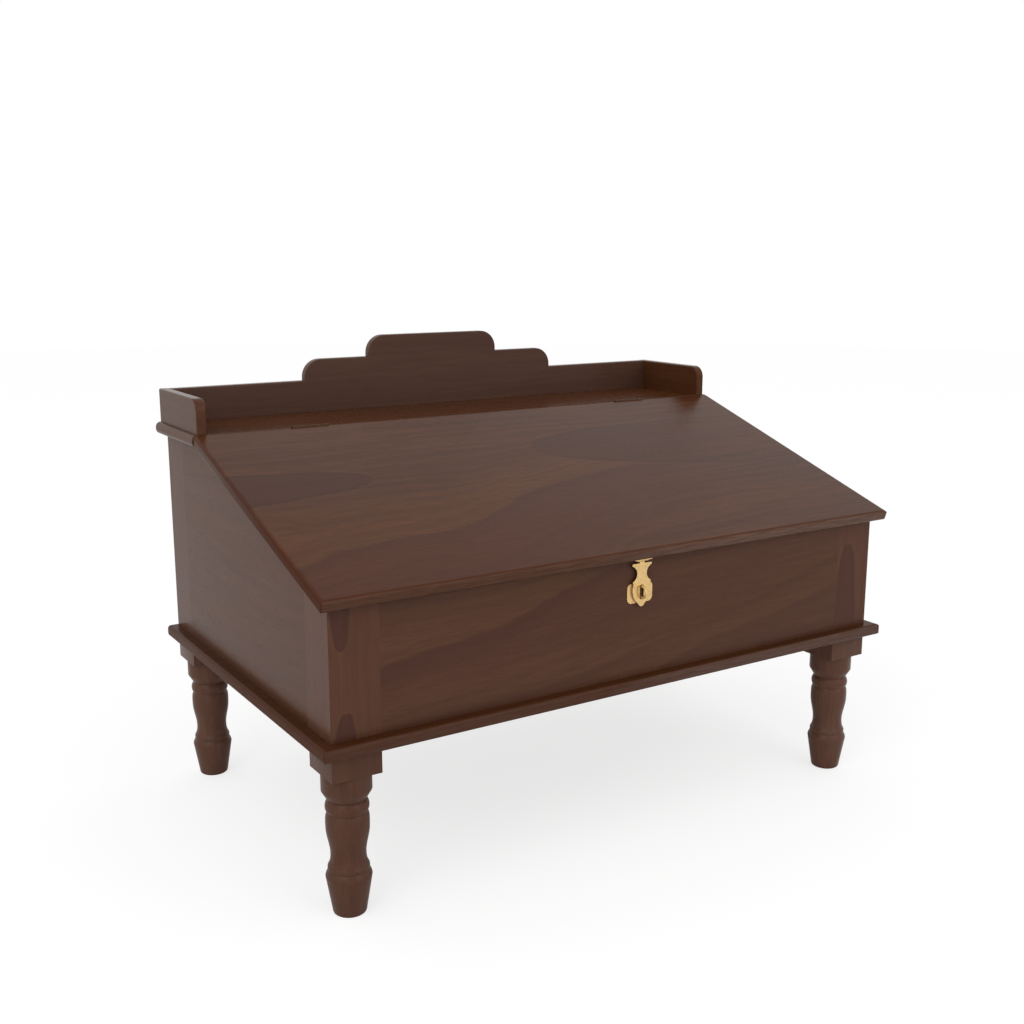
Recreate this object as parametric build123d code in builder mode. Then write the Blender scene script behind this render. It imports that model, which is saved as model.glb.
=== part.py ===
from build123d import *
from math import atan2, cos, sin, tan
import os

# Slant-top lap desk: a shallow case on four turned legs, with a sloping lid, a level shelf
# behind it and a low gallery round the shelf. Millimetres, X to the right, Y to the back,
# Z up. The origin is on the floor, under the middle of the desk.

# Case
case_width = 587.6
case_depth = 370.7
front_height = 109.8
back_height = 195.1
post_size = 43.4
panel_thickness = 12.0
tongue_thickness = 5.0
tongue_length = 8.0
groove_end_gap = 0.5

# Base board, flush with the case at the back
base_thickness = 11.0
base_overhang = 11.0
base_edge_radius = 3.2

# Turned legs: each drop is measured down from the underside of the base board
leg_height = 144.8
block_height = 22.1
shank_radius = 20.6
shank_drop = 38.4
upper_neck_radius = 15.6
upper_neck_drop = 46.4
bead_radius = 17.9
bead_drop = 51.8
lower_neck_radius = 16.3
lower_neck_drop = 57.0
vase_radius = 17.8
vase_drop = 62.4
vase_end_drop = 70.0
hollow_radius = 14.5
hollow_drop = 92.6
ring_start_radius = 16.2
ring_start_drop = 102.2
ring_radius = 17.1
ring_drop = 104.4
ring_end_radius = 16.6
ring_end_drop = 106.8
foot_radius = 19.0
foot_drop = 112.0
toe_radius = 13.6
toe_ease = 0.8
turning_sagitta = 0.5
tenon_radius = 9.0
tenon_length = 28.0
tenon_end_gap = 1.0

# Shelf board, flush with the case at the back
shelf_depth = 108.8
shelf_thickness = 11.6
shelf_overhang = 11.0
shelf_edge_radius = 4.9

# Gallery
gallery_thickness = 9.5
gallery_height = 32.2
gallery_inset = 5.3
gallery_arris = 1.4
wing_setback = 0.5
wing_corner_radius = 12.0
crest_half_width = 151.3
crest_top_half_width = 78.3
crest_step = 21.5
crest_top_step = 22.1
crest_corner_radius = 18.5

# Dowels between shelf and case, and between gallery and shelf
shelf_dowel_radius = 3.0
shelf_dowel_rise = 8.0
shelf_dowel_drop = 15.0
shelf_dowel_x = 120.0
gallery_dowel_radius = 2.0
gallery_dowel_rise = 8.0
gallery_dowel_drop = 7.0
gallery_dowel_x = 220.0
wing_dowel_spread = 25.0
dowel_end_gap = 0.4

# Lid
lid_thickness = 10.9
lid_front_overhang = 10.2
lid_side_overhang = 10.0
lid_edge_radius = 3.5
lid_clearance = 0.4
joint_gap = 1.0
joint_ease = 0.8

# Lid hinges: a pair of butt hinges let into the joint between lid and shelf
hinge_x = 190.0
hinge_length = 38.0
hinge_axis_depth = 0.4
barrel_radius = 1.75
hinge_pin_radius = 0.8
leaf_thickness = 1.0
leaf_height = 8.6
leaf_gap = 0.3
leaf_end_gap = 0.2
knuckle_count = 5
knuckle_gap = 0.2
barrel_clearance = 0.3
hinge_screw_x = 12.0
hinge_screw_drop = 5.1
hinge_screw_length = 7.0

# Screws
screw_radius = 1.0
screw_head_radius = 1.9
screw_head_height = 0.8
screw_slot_width = 0.5
screw_slot_depth = 0.4

# Hasp, hung from the front edge of the lid a little right of the middle
hasp_x = 2.9
hasp_forward = 3.1
hasp_leaf_width = 18.8
hasp_leaf_front = 6.7
hasp_leaf_back = 28.0
hasp_leaf_thickness = 1.5
hasp_leaf_corner_radius = 1.0
hasp_leaf_notch_gap = 0.5
hasp_barrel_radius = 1.6
hasp_barrel_sink = 0.3
hasp_pin_radius = 0.8
hasp_knuckle_width = 5.5
hasp_knuckle_gap = 0.2
hasp_outer_knuckle_width = 3.0
hasp_screw_x = 5.0
hasp_screw_back = 21.0
hasp_screw_length = 8.0

# Strap outline: each drop is measured down from the hasp pin
strap_thickness = 1.2
shoulder_half_width = 10.6
shoulder_drop = 2.9
shoulder_end_drop = 4.9
strap_neck_half_width = 5.3
strap_neck_drop = 12.1
flare_half_width = 10.1
flare_drop = 19.2
nick_half_width = 9.1
nick_drop = 20.6
oval_half_width = 10.1
oval_drop = 26.9
oval_end_half_width = 7.3
oval_end_drop = 35.6
tip_half_width = 1.3
tip_drop = 42.0
slot_half_width = 2.2
slot_half_height = 6.7
slot_drop = 29.0

# Staple and its plate
plate_width = 27.7
plate_height = 18.1
plate_corner_radius = 4.6
plate_thickness = 1.2
plate_drop = 30.1
wire_radius = 1.1
staple_half_height = 5.0
staple_reach = 10.8
staple_bite = 10.0

# Fits and shared details
wood_fit = 0.05
pin_fit = 0.05
screw_fit = 0.03
cut_margin = 5.0
corner_ease = 1.2

# Levels and places worked out from the sizes above
slope = atan2(back_height - front_height, case_depth - shelf_depth)
lid_reach = (
    lid_edge_radius
    + (lid_front_overhang - lid_edge_radius) * cos(slope)
    + (lid_thickness - lid_edge_radius) * sin(slope)
)
total_depth = case_depth + max(base_overhang, lid_reach)
y_back = total_depth / 2
y_front = y_back - case_depth
y_shelf = y_back - shelf_depth
z_base = leg_height
z_floor = z_base + base_thickness
z_rim_front = z_floor + front_height
z_shelf = z_floor + back_height
z_shelf_top = z_shelf + shelf_thickness
half_width = case_width / 2
post_x = half_width - post_size / 2
post_front_y = y_front + post_size / 2
post_back_y = y_back - post_size / 2
panel_half_width = half_width - post_size
tongue_inset = (panel_thickness - tongue_thickness) / 2
corners = [
    (place, side, side_sign * post_x, y)
    for place, y in (("front", post_front_y), ("back", post_back_y))
    for side, side_sign in (("left", -1), ("right", 1))
]


def rim_height(y):
    """Height of the sloping rim of the case at depth y."""
    return z_rim_front + (y - y_front) * tan(slope)


def lid_underside(y):
    """Height of the underside of the closed lid at depth y."""
    return rim_height(y) + lid_clearance / cos(slope)


def lid_topside(y):
    """Height of the top of the closed lid at depth y."""
    return lid_underside(y) + lid_thickness / cos(slope)


def wall_profile(y_start, y_end):
    """Side view of a wall that stands on the base board and ends under lid and shelf."""
    points = [(y_start, z_floor), (y_end, z_floor)]
    points.append((y_end, min(rim_height(y_end), z_shelf)))
    if y_start < y_shelf < y_end:
        points.append((y_shelf, z_shelf))
    points.append((y_start, min(rim_height(y_start), z_shelf)))
    return points


def save(part, name):
    """Label one finished piece and write it."""
    part.label = name
    export_step(part, f"parts/{name}.step")


os.makedirs("parts", exist_ok=True)

# Dowel places
shelf_dowel_points = [
    (-post_x, post_back_y),
    (-shelf_dowel_x, y_back - panel_thickness / 2),
    (shelf_dowel_x, y_back - panel_thickness / 2),
    (post_x, post_back_y),
]
gallery_half_width = half_width + shelf_overhang - gallery_inset
wing_x = gallery_half_width - gallery_thickness / 2
wing_middle_y = (y_shelf + wing_setback + y_back) / 2
back_dowel_points = [(x, y_back - gallery_thickness / 2) for x in (-gallery_dowel_x, 0, gallery_dowel_x)]
wing_dowel_points = {
    side: [(sign * wing_x, wing_middle_y + offset) for offset in (-wing_dowel_spread, wing_dowel_spread)]
    for side, sign in (("left", -1), ("right", 1))
}
gallery_dowel_points = back_dowel_points + wing_dowel_points["left"] + wing_dowel_points["right"]

# Base board: one board, rounded along the front and the sides, its front corners eased,
# bored for the leg tenons
base_depth = case_depth + base_overhang
base_middle_y = y_back - base_depth / 2
base_width = case_width + 2 * base_overhang
with BuildPart() as base_board:
    with BuildSketch(Plane.XY.offset(z_base)):
        with Locations((0, base_middle_y)):
            Rectangle(base_width, base_depth)
    extrude(amount=base_thickness)
    side_edges = base_board.edges().filter_by(Axis.Y)
    front_edges = base_board.edges().filter_by(Axis.X).group_by(Axis.Y)[0]
    fillet(side_edges + front_edges, radius=base_edge_radius)
    with BuildSketch(Plane.XY.offset(z_base)):
        with Locations((0, base_middle_y)):
            Rectangle(base_width, base_depth)
        fillet(vertices().group_by(Axis.Y)[0], radius=corner_ease)
    extrude(amount=base_thickness, mode=Mode.INTERSECT)
    with BuildSketch(Plane.XY.offset(z_base)):
        with Locations(*[(x, y) for _, _, x, y in corners]):
            Circle(tenon_radius + wood_fit)
    extrude(amount=base_thickness, mode=Mode.SUBTRACT)
save(base_board.part, "base_board")

# Legs: a square block under the base board, a turned shaft below it and a round tenon above
for place, side, x, y in corners:
    with BuildPart() as leg:
        with BuildSketch(Plane.XY.offset(z_base - block_height)):
            with Locations((x, y)):
                Rectangle(post_size, post_size)
        extrude(amount=block_height)
        with BuildSketch(Plane.XY.offset(z_base)):
            with Locations((x, y)):
                Circle(tenon_radius)
        extrude(amount=base_thickness + tenon_length)
        with BuildSketch(Plane((x, y, z_base), x_dir=(1, 0, 0), z_dir=(0, -1, 0))):
            with BuildLine():
                Polyline((0, -block_height), (shank_radius, -block_height), (shank_radius, -shank_drop))
                Line((shank_radius, -shank_drop), (upper_neck_radius, -upper_neck_drop))
                ThreePointArc(
                    (upper_neck_radius, -upper_neck_drop),
                    (bead_radius, -bead_drop),
                    (lower_neck_radius, -lower_neck_drop),
                )
                SagittaArc((lower_neck_radius, -lower_neck_drop), (vase_radius, -vase_drop), turning_sagitta)
                Line((vase_radius, -vase_drop), (vase_radius, -vase_end_drop))
                Spline(
                    (vase_radius, -vase_end_drop),
                    (hollow_radius, -hollow_drop),
                    (ring_start_radius, -ring_start_drop),
                    tangents=[(0, -1), (1, -2)],
                )
                ThreePointArc(
                    (ring_start_radius, -ring_start_drop),
                    (ring_radius, -ring_drop),
                    (ring_end_radius, -ring_end_drop),
                )
                SagittaArc((ring_end_radius, -ring_end_drop), (foot_radius, -foot_drop), turning_sagitta)
                Line((foot_radius, -foot_drop), (toe_radius, toe_ease - leg_height))
                Polyline(
                    (toe_radius, toe_ease - leg_height),
                    (toe_radius - toe_ease, -leg_height),
                    (0, -leg_height),
                    (0, -block_height),
                )
            make_face()
        revolve(axis=Axis((x, y, 0), (0, 0, 1)))
    save(leg.part, f"leg_{place}_{side}")

# Corner posts: bored for the leg tenons from below and grooved for the panels
for place, side, x, y in corners:
    inward_x = -1 if side == "right" else 1
    inward_y = 1 if place == "front" else -1
    wall_y = y - inward_y * (post_size - panel_thickness) / 2
    wall_x = x - inward_x * (post_size - panel_thickness) / 2
    groove_depth = tongue_length + groove_end_gap
    with BuildPart() as post:
        with BuildSketch(Plane.YZ.offset(x - post_size / 2)):
            Polygon(*wall_profile(y - post_size / 2, y + post_size / 2), align=None)
        extrude(amount=post_size)
        with BuildSketch(Plane.XY.offset(z_floor)):
            with Locations((x + inward_x * (post_size - groove_depth) / 2, wall_y)):
                Rectangle(groove_depth, tongue_thickness + 2 * wood_fit)
            with Locations((wall_x, y + inward_y * (post_size - groove_depth) / 2)):
                Rectangle(tongue_thickness + 2 * wood_fit, groove_depth)
        extrude(amount=back_height, mode=Mode.SUBTRACT)
        with BuildSketch(Plane.XY.offset(z_floor)):
            with Locations((x, y)):
                Circle(tenon_radius + wood_fit)
        extrude(amount=tenon_length + tenon_end_gap, mode=Mode.SUBTRACT)
        if place == "back":
            with BuildSketch(Plane.XY.offset(z_shelf)):
                with Locations((x, y)):
                    Circle(shelf_dowel_radius + wood_fit)
            extrude(amount=-shelf_dowel_drop - dowel_end_gap, mode=Mode.SUBTRACT)
    save(post.part, f"post_{place}_{side}")

# Hasp places, needed where the front panel is notched and bored
hasp_y = y_front - hasp_forward
leaf_bottom = lid_underside(hasp_y) - hasp_leaf_thickness / cos(slope)
hasp_z = leaf_bottom - hasp_barrel_radius + hasp_barrel_sink
slot_z = hasp_z - slot_drop
plate_z = hasp_z - plate_drop

# Front panel: tongued into the posts, its rim notched for the hasp leaf, bored for the staple
notch_drop = (hasp_leaf_thickness + hasp_leaf_notch_gap - lid_clearance) / cos(slope)
front_inner_y = y_front + panel_thickness
with BuildPart() as front_panel:
    with BuildSketch(Plane.YZ.offset(-panel_half_width)):
        Polygon(*wall_profile(y_front, front_inner_y), align=None)
    extrude(amount=2 * panel_half_width)
    with BuildSketch(Plane.YZ.offset(-panel_half_width - tongue_length)):
        Polygon(*wall_profile(y_front + tongue_inset, front_inner_y - tongue_inset), align=None)
    extrude(amount=2 * (panel_half_width + tongue_length))
    with BuildSketch(Plane.YZ.offset(hasp_x - hasp_leaf_width / 2 - hasp_leaf_notch_gap)):
        notch_start = y_front - cut_margin
        notch_end = front_inner_y + cut_margin
        Polygon(
            (notch_start, rim_height(notch_start) - notch_drop),
            (notch_end, rim_height(notch_end) - notch_drop),
            (notch_end, rim_height(notch_end) + cut_margin),
            (notch_start, rim_height(notch_start) + cut_margin),
            align=None,
        )
    extrude(amount=hasp_leaf_width + 2 * hasp_leaf_notch_gap, mode=Mode.SUBTRACT)
    with BuildSketch(Plane((hasp_x, y_front, slot_z), x_dir=(1, 0, 0), z_dir=(0, 1, 0))):
        with Locations((0, -staple_half_height), (0, staple_half_height)):
            Circle(wire_radius + wood_fit)
    extrude(amount=staple_bite + dowel_end_gap, mode=Mode.SUBTRACT)
save(front_panel.part, "front_panel")

# Back panel: tongued into the posts, as high as the shelf, bored for two dowels
with BuildPart() as back_panel:
    with BuildSketch(Plane.YZ.offset(-panel_half_width)):
        Polygon(*wall_profile(y_back - panel_thickness, y_back), align=None)
    extrude(amount=2 * panel_half_width)
    with BuildSketch(Plane.YZ.offset(-panel_half_width - tongue_length)):
        Polygon(*wall_profile(y_back - panel_thickness + tongue_inset, y_back - tongue_inset), align=None)
    extrude(amount=2 * (panel_half_width + tongue_length))
    with BuildSketch(Plane.XY.offset(z_shelf)):
        with Locations(*shelf_dowel_points[1:3]):
            Circle(shelf_dowel_radius + wood_fit)
    extrude(amount=-shelf_dowel_drop - dowel_end_gap, mode=Mode.SUBTRACT)
save(back_panel.part, "back_panel")

# Side panels: tongued into the posts, their rim level under the shelf and sloping under the lid
for side, sign in (("left", -1), ("right", 1)):
    panel_middle_x = sign * (half_width - panel_thickness / 2)
    panel_start_y = y_front + post_size
    panel_end_y = y_back - post_size
    with BuildPart() as side_panel:
        with BuildSketch(Plane.YZ.offset(panel_middle_x - panel_thickness / 2)):
            Polygon(*wall_profile(panel_start_y, panel_end_y), align=None)
        extrude(amount=panel_thickness)
        with BuildSketch(Plane.YZ.offset(panel_middle_x - tongue_thickness / 2)):
            Polygon(*wall_profile(panel_start_y - tongue_length, panel_end_y + tongue_length), align=None)
        extrude(amount=tongue_thickness)
    save(side_panel.part, f"side_panel_{side}")

# Shared hinge places: the hinge line runs along X, in the joint between lid and shelf
hinge_y = y_shelf - joint_gap / 2
hinge_z = z_shelf_top - hinge_axis_depth
mortise_depth = leaf_thickness + leaf_gap / 2 - joint_gap / 2
knuckle_pitch = hinge_length / knuckle_count
hinge_screw_z = hinge_z - hinge_screw_drop
shelf_leaf_face = hinge_y + leaf_gap / 2
lid_leaf_face = hinge_y - leaf_gap / 2
hinge_sides = (("left", -hinge_x), ("right", hinge_x))
shelf_screw_planes = [
    Plane((x + offset, shelf_leaf_face, hinge_screw_z), z_dir=(0, -1, 0))
    for _, x in hinge_sides
    for offset in (-hinge_screw_x, hinge_screw_x)
]
lid_screw_planes = [
    Plane((x + offset, lid_leaf_face, hinge_screw_z), z_dir=(0, 1, 0))
    for _, x in hinge_sides
    for offset in (-hinge_screw_x, hinge_screw_x)
]


def hinge_seats(direction):
    """Barrel grooves and leaf mortises of both hinges; direction is 1 for the shelf, -1 for the lid."""
    seat_length = hinge_length + 2 * leaf_end_gap
    seat_depth = joint_gap / 2 + mortise_depth
    with BuildPart() as seats:
        for _, x in hinge_sides:
            with BuildSketch(Plane.YZ.offset(x - seat_length / 2)):
                with Locations((hinge_y, hinge_z)):
                    Circle(barrel_radius + barrel_clearance)
                with Locations((hinge_y + direction * seat_depth / 2, hinge_z - leaf_height / 2)):
                    Rectangle(seat_depth, leaf_height + 2 * leaf_end_gap)
            extrude(amount=seat_length)
    return seats.part


def bore_pilots(planes, length):
    """Bore straight pilot holes for screws whose head planes are given."""
    with Locations(*planes):
        Cylinder(
            screw_radius + screw_fit,
            length + dowel_end_gap,
            align=(Align.CENTER, Align.CENTER, Align.MAX),
            mode=Mode.SUBTRACT,
        )


def make_screws(name, planes, length):
    """Make slotted countersunk screws, heads flush with the given planes, as one node."""
    to_plane = (Align.CENTER, Align.CENTER, Align.MAX)
    with BuildPart() as screws:
        with Locations(*planes):
            Cone(screw_radius, screw_head_radius, screw_head_height, align=to_plane)
            Cylinder(screw_radius, length, align=to_plane)
            Box(2 * screw_head_radius, screw_slot_width, screw_slot_depth, align=to_plane, mode=Mode.SUBTRACT)
    save(screws.part, name)


def bore_screw_seats(planes, depth):
    """Bore countersunk screw holes through a leaf whose outer face holds the given planes."""
    with Locations(*planes):
        CounterSinkHole(screw_radius + screw_fit, screw_head_radius + screw_fit, depth)


# Shelf board: rounded ends, seats for the hinges in its front edge, bored for the dowels
with BuildPart() as shelf_board:
    with BuildSketch(Plane.XY.offset(z_shelf)):
        with Locations((0, y_back - shelf_depth / 2)):
            Rectangle(case_width + 2 * shelf_overhang, shelf_depth)
    extrude(amount=shelf_thickness)
    end_edges = shelf_board.edges().filter_by(Axis.Y)
    fillet(end_edges, radius=shelf_edge_radius)
    front_top_edge = shelf_board.edges().filter_by(Axis.X).group_by(Axis.Y)[0].sort_by(Axis.Z)[-1]
    fillet(front_top_edge, radius=joint_ease)
    add(hinge_seats(1), mode=Mode.SUBTRACT)
    bore_pilots(shelf_screw_planes, hinge_screw_length)
    with BuildSketch(Plane.XY.offset(z_shelf)):
        with Locations(*shelf_dowel_points):
            Circle(shelf_dowel_radius + wood_fit)
    extrude(amount=shelf_dowel_rise + dowel_end_gap, mode=Mode.SUBTRACT)
    with BuildSketch(Plane.XY.offset(z_shelf_top)):
        with Locations(*gallery_dowel_points):
            Circle(gallery_dowel_radius + wood_fit)
    extrude(amount=-gallery_dowel_drop - dowel_end_gap, mode=Mode.SUBTRACT)
save(shelf_board.part, "shelf_board")

# Gallery wings: one at each end of the shelf, the upper front corner rounded
for side, sign in (("left", -1), ("right", 1)):
    wing_start = y_shelf + wing_setback
    with BuildPart() as wing:
        with BuildSketch(Plane.YZ.offset(sign * wing_x - gallery_thickness / 2)):
            with Locations(((wing_start + y_back) / 2, z_shelf_top + gallery_height / 2)):
                Rectangle(y_back - wing_start, gallery_height)
            front_corners = vertices().sort_by(Axis.X)[:2]
            fillet(front_corners.sort_by(Axis.Y)[-1], radius=wing_corner_radius)
        extrude(amount=gallery_thickness)
        outline_edges = wing.faces().filter_by(Axis.X).edges()
        raised_edges = outline_edges.filter_by(lambda edge: edge.center().Z > z_shelf_top + gallery_arris)
        back_limit = y_back - gallery_arris
        fillet(raised_edges.filter_by(lambda edge: edge.center().Y < back_limit), radius=gallery_arris)
        with BuildSketch(Plane.XY.offset(z_shelf_top)):
            with Locations(*wing_dowel_points[side]):
                Circle(gallery_dowel_radius + wood_fit)
        extrude(amount=gallery_dowel_rise + dowel_end_gap, mode=Mode.SUBTRACT)
    save(wing.part, f"gallery_wing_{side}")

# Gallery back: fitted between the wings, with a crest of two rounded steps
back_half_width = gallery_half_width - gallery_thickness
crest_height = gallery_height + crest_step
crest_top_height = crest_height + crest_top_step
crest_steps = ((crest_half_width, crest_height), (crest_top_half_width, crest_top_height))
with BuildPart() as gallery_back:
    with BuildSketch(Plane((0, y_back, z_shelf_top), x_dir=(1, 0, 0), z_dir=(0, -1, 0))):
        for step_half_width, step_height in crest_steps:
            with Locations((0, step_height / 2)):
                Rectangle(2 * step_half_width, step_height)
            fillet(vertices().sort_by(Axis.Y)[-2:], radius=crest_corner_radius)
        with Locations((0, gallery_height / 2)):
            Rectangle(2 * back_half_width, gallery_height)
    extrude(amount=gallery_thickness)
    outline_edges = gallery_back.faces().filter_by(Axis.Y).edges()
    raised_edges = outline_edges.filter_by(lambda edge: edge.center().Z > z_shelf_top + gallery_arris)
    inner_limit = back_half_width - gallery_arris
    fillet(raised_edges.filter_by(lambda edge: abs(edge.center().X) < inner_limit), radius=gallery_arris)
    with BuildSketch(Plane.XY.offset(z_shelf_top)):
        with Locations(*back_dowel_points):
            Circle(gallery_dowel_radius + wood_fit)
    extrude(amount=gallery_dowel_rise + dowel_end_gap, mode=Mode.SUBTRACT)
save(gallery_back.part, "gallery_back")

# Dowels: each size is one node of separate plain pins
with BuildPart() as shelf_dowels:
    with BuildSketch(Plane.XY.offset(z_shelf - shelf_dowel_drop)):
        with Locations(*shelf_dowel_points):
            Circle(shelf_dowel_radius)
    extrude(amount=shelf_dowel_drop + shelf_dowel_rise)
save(shelf_dowels.part, "shelf_dowels")

with BuildPart() as gallery_dowels:
    with BuildSketch(Plane.XY.offset(z_shelf_top - gallery_dowel_drop)):
        with Locations(*gallery_dowel_points):
            Circle(gallery_dowel_radius)
    extrude(amount=gallery_dowel_drop + gallery_dowel_rise)
save(gallery_dowels.part, "gallery_dowels")

# Hasp frame: a plane on the underside of the lid, its Y axis running up the slope
lid_normal = (0, -sin(slope), cos(slope))
hasp_leaf_plane = Plane((hasp_x, y_front, lid_underside(y_front)), x_dir=(1, 0, 0), z_dir=lid_normal)
hasp_seat_plane = hasp_leaf_plane.offset(-hasp_leaf_thickness)
hasp_screw_planes = [
    Plane(
        hasp_seat_plane.from_local_coords((x, hasp_screw_back, 0)),
        x_dir=(1, 0, 0),
        z_dir=(0, sin(slope), -cos(slope)),
    )
    for x in (-hasp_screw_x, hasp_screw_x)
]

# Lid: one sloping board, cut upright along the back, rounded along the front and the sides,
# its front corners eased
lid_back_y = y_shelf - joint_gap
lid_front_y = y_front - lid_front_overhang * cos(slope)
lid_length_x = case_width + 2 * lid_side_overhang
lid_tip_y = lid_front_y - lid_thickness * sin(slope)
lid_outline_depth = lid_front_overhang + (lid_back_y - y_front) / cos(slope) + lid_thickness
with BuildPart() as lid_board:
    with BuildSketch(Plane.YZ.offset(-lid_length_x / 2)):
        Polygon(
            (lid_front_y, lid_underside(lid_front_y)),
            (lid_back_y, lid_underside(lid_back_y)),
            (lid_back_y, lid_topside(lid_back_y)),
            (lid_tip_y, lid_topside(lid_tip_y)),
            align=None,
        )
    extrude(amount=lid_length_x)
    side_edges = lid_board.edges().filter_by(Axis((0, 0, 0), (0, cos(slope), sin(slope))))
    front_edges = lid_board.edges().filter_by(Axis.X).sort_by(Axis.Y)[:2]
    fillet(side_edges + front_edges, radius=lid_edge_radius)
    with BuildSketch(hasp_leaf_plane):
        with Locations((-hasp_x, lid_outline_depth / 2 - lid_front_overhang)):
            Rectangle(lid_length_x, lid_outline_depth)
        fillet(vertices().group_by(Axis.Y)[0], radius=corner_ease)
    extrude(amount=lid_thickness, mode=Mode.INTERSECT)
    back_top_edge = lid_board.edges().filter_by(Axis.X).group_by(Axis.Y)[-1].sort_by(Axis.Z)[-1]
    fillet(back_top_edge, radius=joint_ease)
    add(hinge_seats(-1), mode=Mode.SUBTRACT)
    bore_pilots(lid_screw_planes, hinge_screw_length)
    bore_pilots(hasp_screw_planes, hasp_screw_length)
save(lid_board.part, "lid_board")

# Butt hinges: three knuckles on the shelf leaf, two on the lid leaf, and one pin
for side, x in hinge_sides:
    hinge_start = x - hinge_length / 2
    leaf_starts = {
        "shelf": [hinge_start + index * knuckle_pitch for index in range(0, knuckle_count, 2)],
        "lid": [hinge_start + index * knuckle_pitch for index in range(1, knuckle_count, 2)],
    }
    leaf_settings = (
        ("shelf", "lid", 1, shelf_screw_planes),
        ("lid", "shelf", -1, lid_screw_planes),
    )
    for owner, other, direction, screw_planes in leaf_settings:
        near_planes = [plane for plane in screw_planes if abs(plane.origin.X - x) < hinge_length]
        leaf_middle_y = hinge_y + direction * (leaf_gap + leaf_thickness) / 2
        with BuildPart() as leaf:
            with BuildSketch(Plane.YZ.offset(hinge_start)):
                with Locations((leaf_middle_y, hinge_z - leaf_height / 2)):
                    Rectangle(leaf_thickness, leaf_height)
            extrude(amount=hinge_length)
            for start in leaf_starts[other]:
                with BuildSketch(Plane.YZ.offset(start - knuckle_gap / 2)):
                    with Locations((hinge_y, hinge_z)):
                        Circle(barrel_radius + barrel_clearance)
                extrude(amount=knuckle_pitch + knuckle_gap, mode=Mode.SUBTRACT)
            for start in leaf_starts[owner]:
                with BuildSketch(Plane.YZ.offset(start + knuckle_gap / 2)):
                    with Locations((hinge_y, hinge_z)):
                        Circle(barrel_radius)
                extrude(amount=knuckle_pitch - knuckle_gap)
            with BuildSketch(Plane.YZ.offset(hinge_start)):
                with Locations((hinge_y, hinge_z)):
                    Circle(hinge_pin_radius + pin_fit)
            extrude(amount=hinge_length, mode=Mode.SUBTRACT)
            bore_screw_seats(near_planes, leaf_thickness)
        save(leaf.part, f"hinge_{side}_{owner}_leaf")
    with BuildPart() as hinge_pin:
        with BuildSketch(Plane.YZ.offset(hinge_start)):
            with Locations((hinge_y, hinge_z)):
                Circle(hinge_pin_radius)
        extrude(amount=hinge_length)
    save(hinge_pin.part, f"hinge_{side}_pin")

make_screws("shelf_hinge_screws", shelf_screw_planes, hinge_screw_length)
make_screws("lid_hinge_screws", lid_screw_planes, hinge_screw_length)

# Hasp leaf: a plate under the lid, let into the rim of the front panel, with two outer knuckles
outer_knuckle_start = hasp_knuckle_width / 2 + hasp_knuckle_gap
outer_knuckle_end = outer_knuckle_start + hasp_outer_knuckle_width
leaf_middle = (hasp_leaf_back - hasp_leaf_front / cos(slope)) / 2
leaf_length = hasp_leaf_back + hasp_leaf_front / cos(slope)
with BuildPart() as hasp_leaf:
    with BuildSketch(hasp_leaf_plane):
        with Locations((0, leaf_middle)):
            RectangleRounded(hasp_leaf_width, leaf_length, hasp_leaf_corner_radius)
    extrude(amount=-hasp_leaf_thickness)
    with BuildSketch(Plane.YZ.offset(hasp_x - hasp_knuckle_width / 2 - hasp_knuckle_gap)):
        with Locations((hasp_y, hasp_z)):
            Circle(hasp_barrel_radius + barrel_clearance)
    extrude(amount=hasp_knuckle_width + 2 * hasp_knuckle_gap, mode=Mode.SUBTRACT)
    for start in (hasp_x - outer_knuckle_end, hasp_x + outer_knuckle_start):
        with BuildSketch(Plane.YZ.offset(start)):
            with Locations((hasp_y, hasp_z)):
                Circle(hasp_barrel_radius)
        extrude(amount=hasp_outer_knuckle_width)
    with BuildSketch(Plane.YZ.offset(hasp_x - outer_knuckle_end)):
        with Locations((hasp_y, hasp_z)):
            Circle(hasp_pin_radius + pin_fit)
    extrude(amount=2 * outer_knuckle_end, mode=Mode.SUBTRACT)
    bore_screw_seats(hasp_screw_planes, hasp_leaf_thickness)
save(hasp_leaf.part, "hasp_leaf")
make_screws("hasp_leaf_screws", hasp_screw_planes, hasp_screw_length)

with BuildPart() as hasp_pin:
    with BuildSketch(Plane.YZ.offset(hasp_x - outer_knuckle_end)):
        with Locations((hasp_y, hasp_z)):
            Circle(hasp_pin_radius)
    extrude(amount=2 * outer_knuckle_end)
save(hasp_pin.part, "hasp_pin")

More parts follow.
